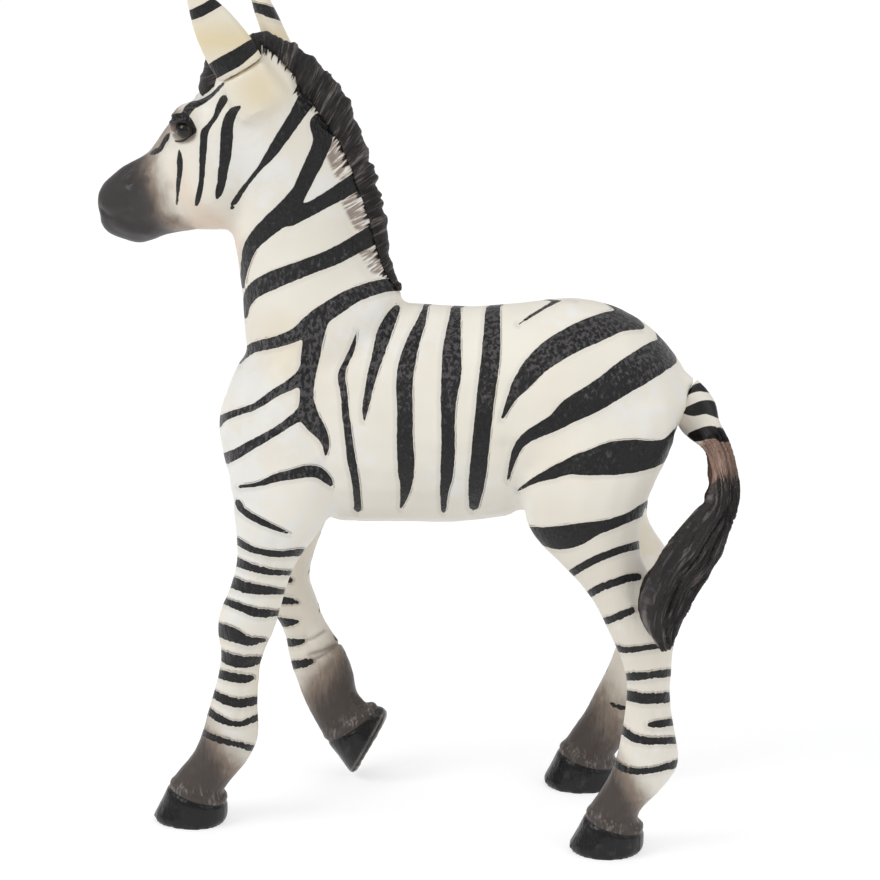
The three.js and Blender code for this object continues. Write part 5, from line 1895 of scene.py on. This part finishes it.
@dataclass
class Ear:
    """One cupped ear blade."""

    node: str
    name: str
    low: Vector
    high: Vector
    rosy: float
    voxel: float = 0.24

    def build(self, paint: bpy.types.Material) -> bpy.types.Object:
        """Smooths the casting and paints its bands and its cup.

        Args:
            paint: the figure's paint.

        Returns:
            The piece.
        """
        skin = Skin.fused((frame["nodes"][self.node].data,), 0.1, self.voxel)
        skin.relax(9)
        skin = skin.subdivided()
        skin.push(0.03 * grain(skin.points, 1.4, 31) - 0.02)
        skin.keep_inside(self.low, self.high)
        pixels = PHOTO.project(skin.points)
        none = np.zeros(len(skin.points))
        cup = self.cupped(skin)
        side = "near" if self.node == "left_ear" else "far"
        lines = [line for name, line in EAR_BANDS.items() if name.startswith(side)]
        bands, aside = struck(pixels, lines, tip=0.4)
        stripe = bands / PIXELS_PER_MM + cup * 0.6
        skin.fields = {
            "stripe": np.clip(stripe, -3, 3),
            "aside": aside,
            "fringe": none - 3,
            # painted shade, deeper in the ear's cup
            "charcoal_and_shade": 0.35 * eased(cup, 0.35, 1.0),
            "sock": none,
            "hoof": none - 3,
            "warm": 0.7 * bell(pixels[:, 1], 40, 16) + 0.3,
            "blush": np.clip(cup * 0.8 + self.rosy, 0, 1),
            "tawny": none,
            "furred": none + 0.1,
            "chisel_and_sheen": none,
            "rim": none,
            "crease": none,
            "strand": np.column_stack([pixels, none]) / PIXELS_PER_MM,
        }
        return piece_of(skin.mesh(self.name), self.name, self.node, paint)

    @staticmethod
    def cupped(skin: Skin) -> np.ndarray:
        """Returns how deep in the ear's cup each vertex lies, from 0 to 1."""
        shell = bmesh.new()
        for point in skin.points:
            shell.verts.new(point)
        bmesh.ops.convex_hull(shell, input=shell.verts)
        tree = BVHTree.FromBMesh(shell)
        shell.free()
        depth = np.array([tree.find_nearest(Vector(p))[3] for p in skin.points])
        return eased(depth, 0.2, 1.1)


@dataclass
class Eye:
    """One glossy eye, set into its socket."""

    name: str
    side: float  # -1 left, 1 right
    length: float = 1.82
    height: float = 1.72
    depth: float = 1.6
    proud: float = 0.02  # how far it stands out of the casting
    aside: float = 0.92  # the way it looks
    ahead: float = 0.28
    upward: float = 0.2
    glint: tuple = (1.9, 1.0)  # pixels from the glint's middle to where it starts and is full

    def build(self, gloss: bpy.types.Material) -> bpy.types.Object:
        """Makes the eyeball, turned to look outward.

        Args:
            gloss: the eye's material.

        Returns:
            The piece.
        """
        ball = bmesh.new()
        bmesh.ops.create_icosphere(ball, subdivisions=4, radius=0.5)
        iris = ball.verts.layers.float.new("iris")
        for vertex in ball.verts:
            vertex[iris] = math.hypot(vertex.co.x, vertex.co.y) * 2
            vertex.co = (vertex.co.x * self.length, vertex.co.y * self.height, vertex.co.z * self.depth)
        outward = -HEAD_SIDE * self.aside + HEAD_AHEAD * self.ahead + np.array([0, 0, self.upward])
        centre = eye_seat() - outward * (self.depth / 2 - self.proud)
        if self.side > 0:
            centre = centre - HEAD_SIDE * 2 * ((centre - POLL) @ HEAD_SIDE)
            outward = outward - HEAD_SIDE * 2 * (outward @ HEAD_SIDE)
        turn = Vector(outward).to_track_quat("Z", "Y").to_matrix().to_4x4()
        ball.transform(Matrix.Scale(METRES, 4) @ Matrix.Translation(Vector(centre)) @ turn)
        mesh = bpy.data.meshes.new(self.name)
        ball.to_mesh(mesh)
        ball.free()
        points = np.array([v.co for v in mesh.vertices]) / METRES
        if self.side > 0:
            points = points - 2 * ((points - POLL) @ HEAD_SIDE)[:, None] * HEAD_SIDE
        off = np.linalg.norm(PHOTO.project(points) - GLINT_AT, axis=1)
        store(mesh, "glint", eased(off, *self.glint))
        mesh.polygons.foreach_set("use_smooth", np.ones(len(mesh.polygons), bool))
        return piece_of(mesh, self.name, None, gloss)


# Studio


@dataclass(frozen=True)
class Lamp:
    """A square soft lamp that looks at the figure, in metres and watts."""

    name: str
    place: tuple[float, float, float]
    size: float
    power: float
    target: tuple[float, float, float] = (0, 0, 0.045)

    def build(self) -> None:
        """Hangs the lamp."""
        data = bpy.data.lights.new(self.name, "AREA")
        data.size, data.energy = self.size, self.power
        lamp = linked(self.name, data)
        lamp.location = self.place
        lamp.rotation_mode = "QUATERNION"
        lamp.rotation_quaternion = (Vector(self.target) - Vector(self.place)).to_track_quat("-Z", "Y")


@dataclass
class Studio:
    """Pale floor, white surround and soft lamps."""

    floor_size: float = 6.0
    floor_shade: tuple = (0.86, 0.86, 0.86, 1)  # in the light that it gives the figure
    floor_lit: tuple = (0.5, 0.5, 0.505, 1)  # the part of the seen floor that takes the shadow
    floor_glow: float = 0.63
    surround: float = 0.55
    sky: tuple = (0.97, 0.985, 1, 1)
    white: tuple = (1, 1, 1, 1)
    lamps: tuple = (
        Lamp("key", (-0.62, -0.4, 0.67), 0.5, 3.3),
        Lamp("fill", (0.72, -0.33, 0.5), 0.6, 1.5),
        Lamp("top", (0.05, 0.25, 0.9), 0.7, 0.9),
    )

    def build(self) -> None:
        """Makes the floor, the world and the lamps."""
        self.build_floor()
        self.build_world()
        for lamp in self.lamps:
            lamp.build()
        bpy.context.scene.view_settings.view_transform = "Standard"

    def build_floor(self) -> None:
        """Lays the floor, which shows pale but keeps the shadow."""
        half = self.floor_size / 2
        mesh = bpy.data.meshes.new("floor")
        corners = [(-half, -half, 0), (half, -half, 0), (half, half, 0), (-half, half, 0)]
        mesh.from_pydata(corners, [], [(0, 1, 2, 3)])
        floor = linked("floor", mesh)
        floor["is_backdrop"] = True
        made = bpy.data.materials.new("floor")
        sheet = fresh(made)
        plain = sheet.node("ShaderNodeBsdfDiffuse", None, {"Color": self.floor_shade})
        lit = sheet.node("ShaderNodeBsdfDiffuse", None, {"Color": self.floor_lit})
        glow = sheet.node("ShaderNodeEmission", None, {"Color": self.white, "Strength": self.floor_glow})
        pale = sheet.node("ShaderNodeAddShader", None, {0: lit.outputs[0], 1: glow.outputs[0]})
        seen = sheet.rays("Is Camera Ray", "Is Glossy Ray", "Is Transmission Ray")
        shown = sheet.node("ShaderNodeMixShader", None, {0: seen, 1: plain.outputs[0], 2: pale.outputs[0]})
        sheet.node("ShaderNodeOutputMaterial", None, {"Surface": shown.outputs[0]})
        mesh.materials.append(made)

    def build_world(self) -> None:
        """Sets the white surround, plainer in light than it shows."""
        world = bpy.data.worlds.new("surround")
        sheet = fresh(world)
        soft = sheet.node("ShaderNodeBackground", None, {"Color": self.sky, "Strength": self.surround})
        white = sheet.node("ShaderNodeBackground", None, {"Color": self.white, "Strength": 1.0})
        seen = sheet.rays("Is Camera Ray", "Is Transmission Ray")
        shown = sheet.node("ShaderNodeMixShader", None, {0: seen, 1: soft.outputs[0], 2: white.outputs[0]})
        sheet.node("ShaderNodeOutputWorld", None, {"Surface": shown.outputs[0]})
        bpy.context.scene.world = world


def main() -> None:
    """Builds the camera, the studio and every piece in order."""
    logging.basicConfig(level=logging.INFO, format="%(message)s", stream=sys.stdout, force=True)
    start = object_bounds()
    PHOTO.build()
    Studio().build()
    paint = FigurePaint().material()
    body = Body(*start)
    body.build()
    LOG.info("body fused: %d faces", len(body.skin.faces))
    body.sculpt()
    body.find_twins()
    body.paint()
    for piece in body.part_pieces(paint):
        LOG.info("%s: %d faces", piece.name, len(piece.data.polygons))
    for node, rosy in (("left_ear", 0.0), ("right_ear", 0.1)):
        LOG.info("%s made", Ear(node, node + "_blade", *start, rosy).build(paint).name)
    crest_paint = HairPaint("mane_paint", linear(120, 92, 78)).material()
    LOG.info("%s made", Mane(*start).build(crest_paint).name)
    tail_paint = HairPaint("tail_paint", linear(198, 162, 144)).material()
    LOG.info("%s made", Tail(*start).build(tail_paint).name)
    gloss = EyeGloss().material()
    for name, side in (("left_eye", -1.0), ("right_eye", 1.0)):
        LOG.info("%s made", Eye(name, side).build(gloss).name)


if __name__ == "__main__":
    main()
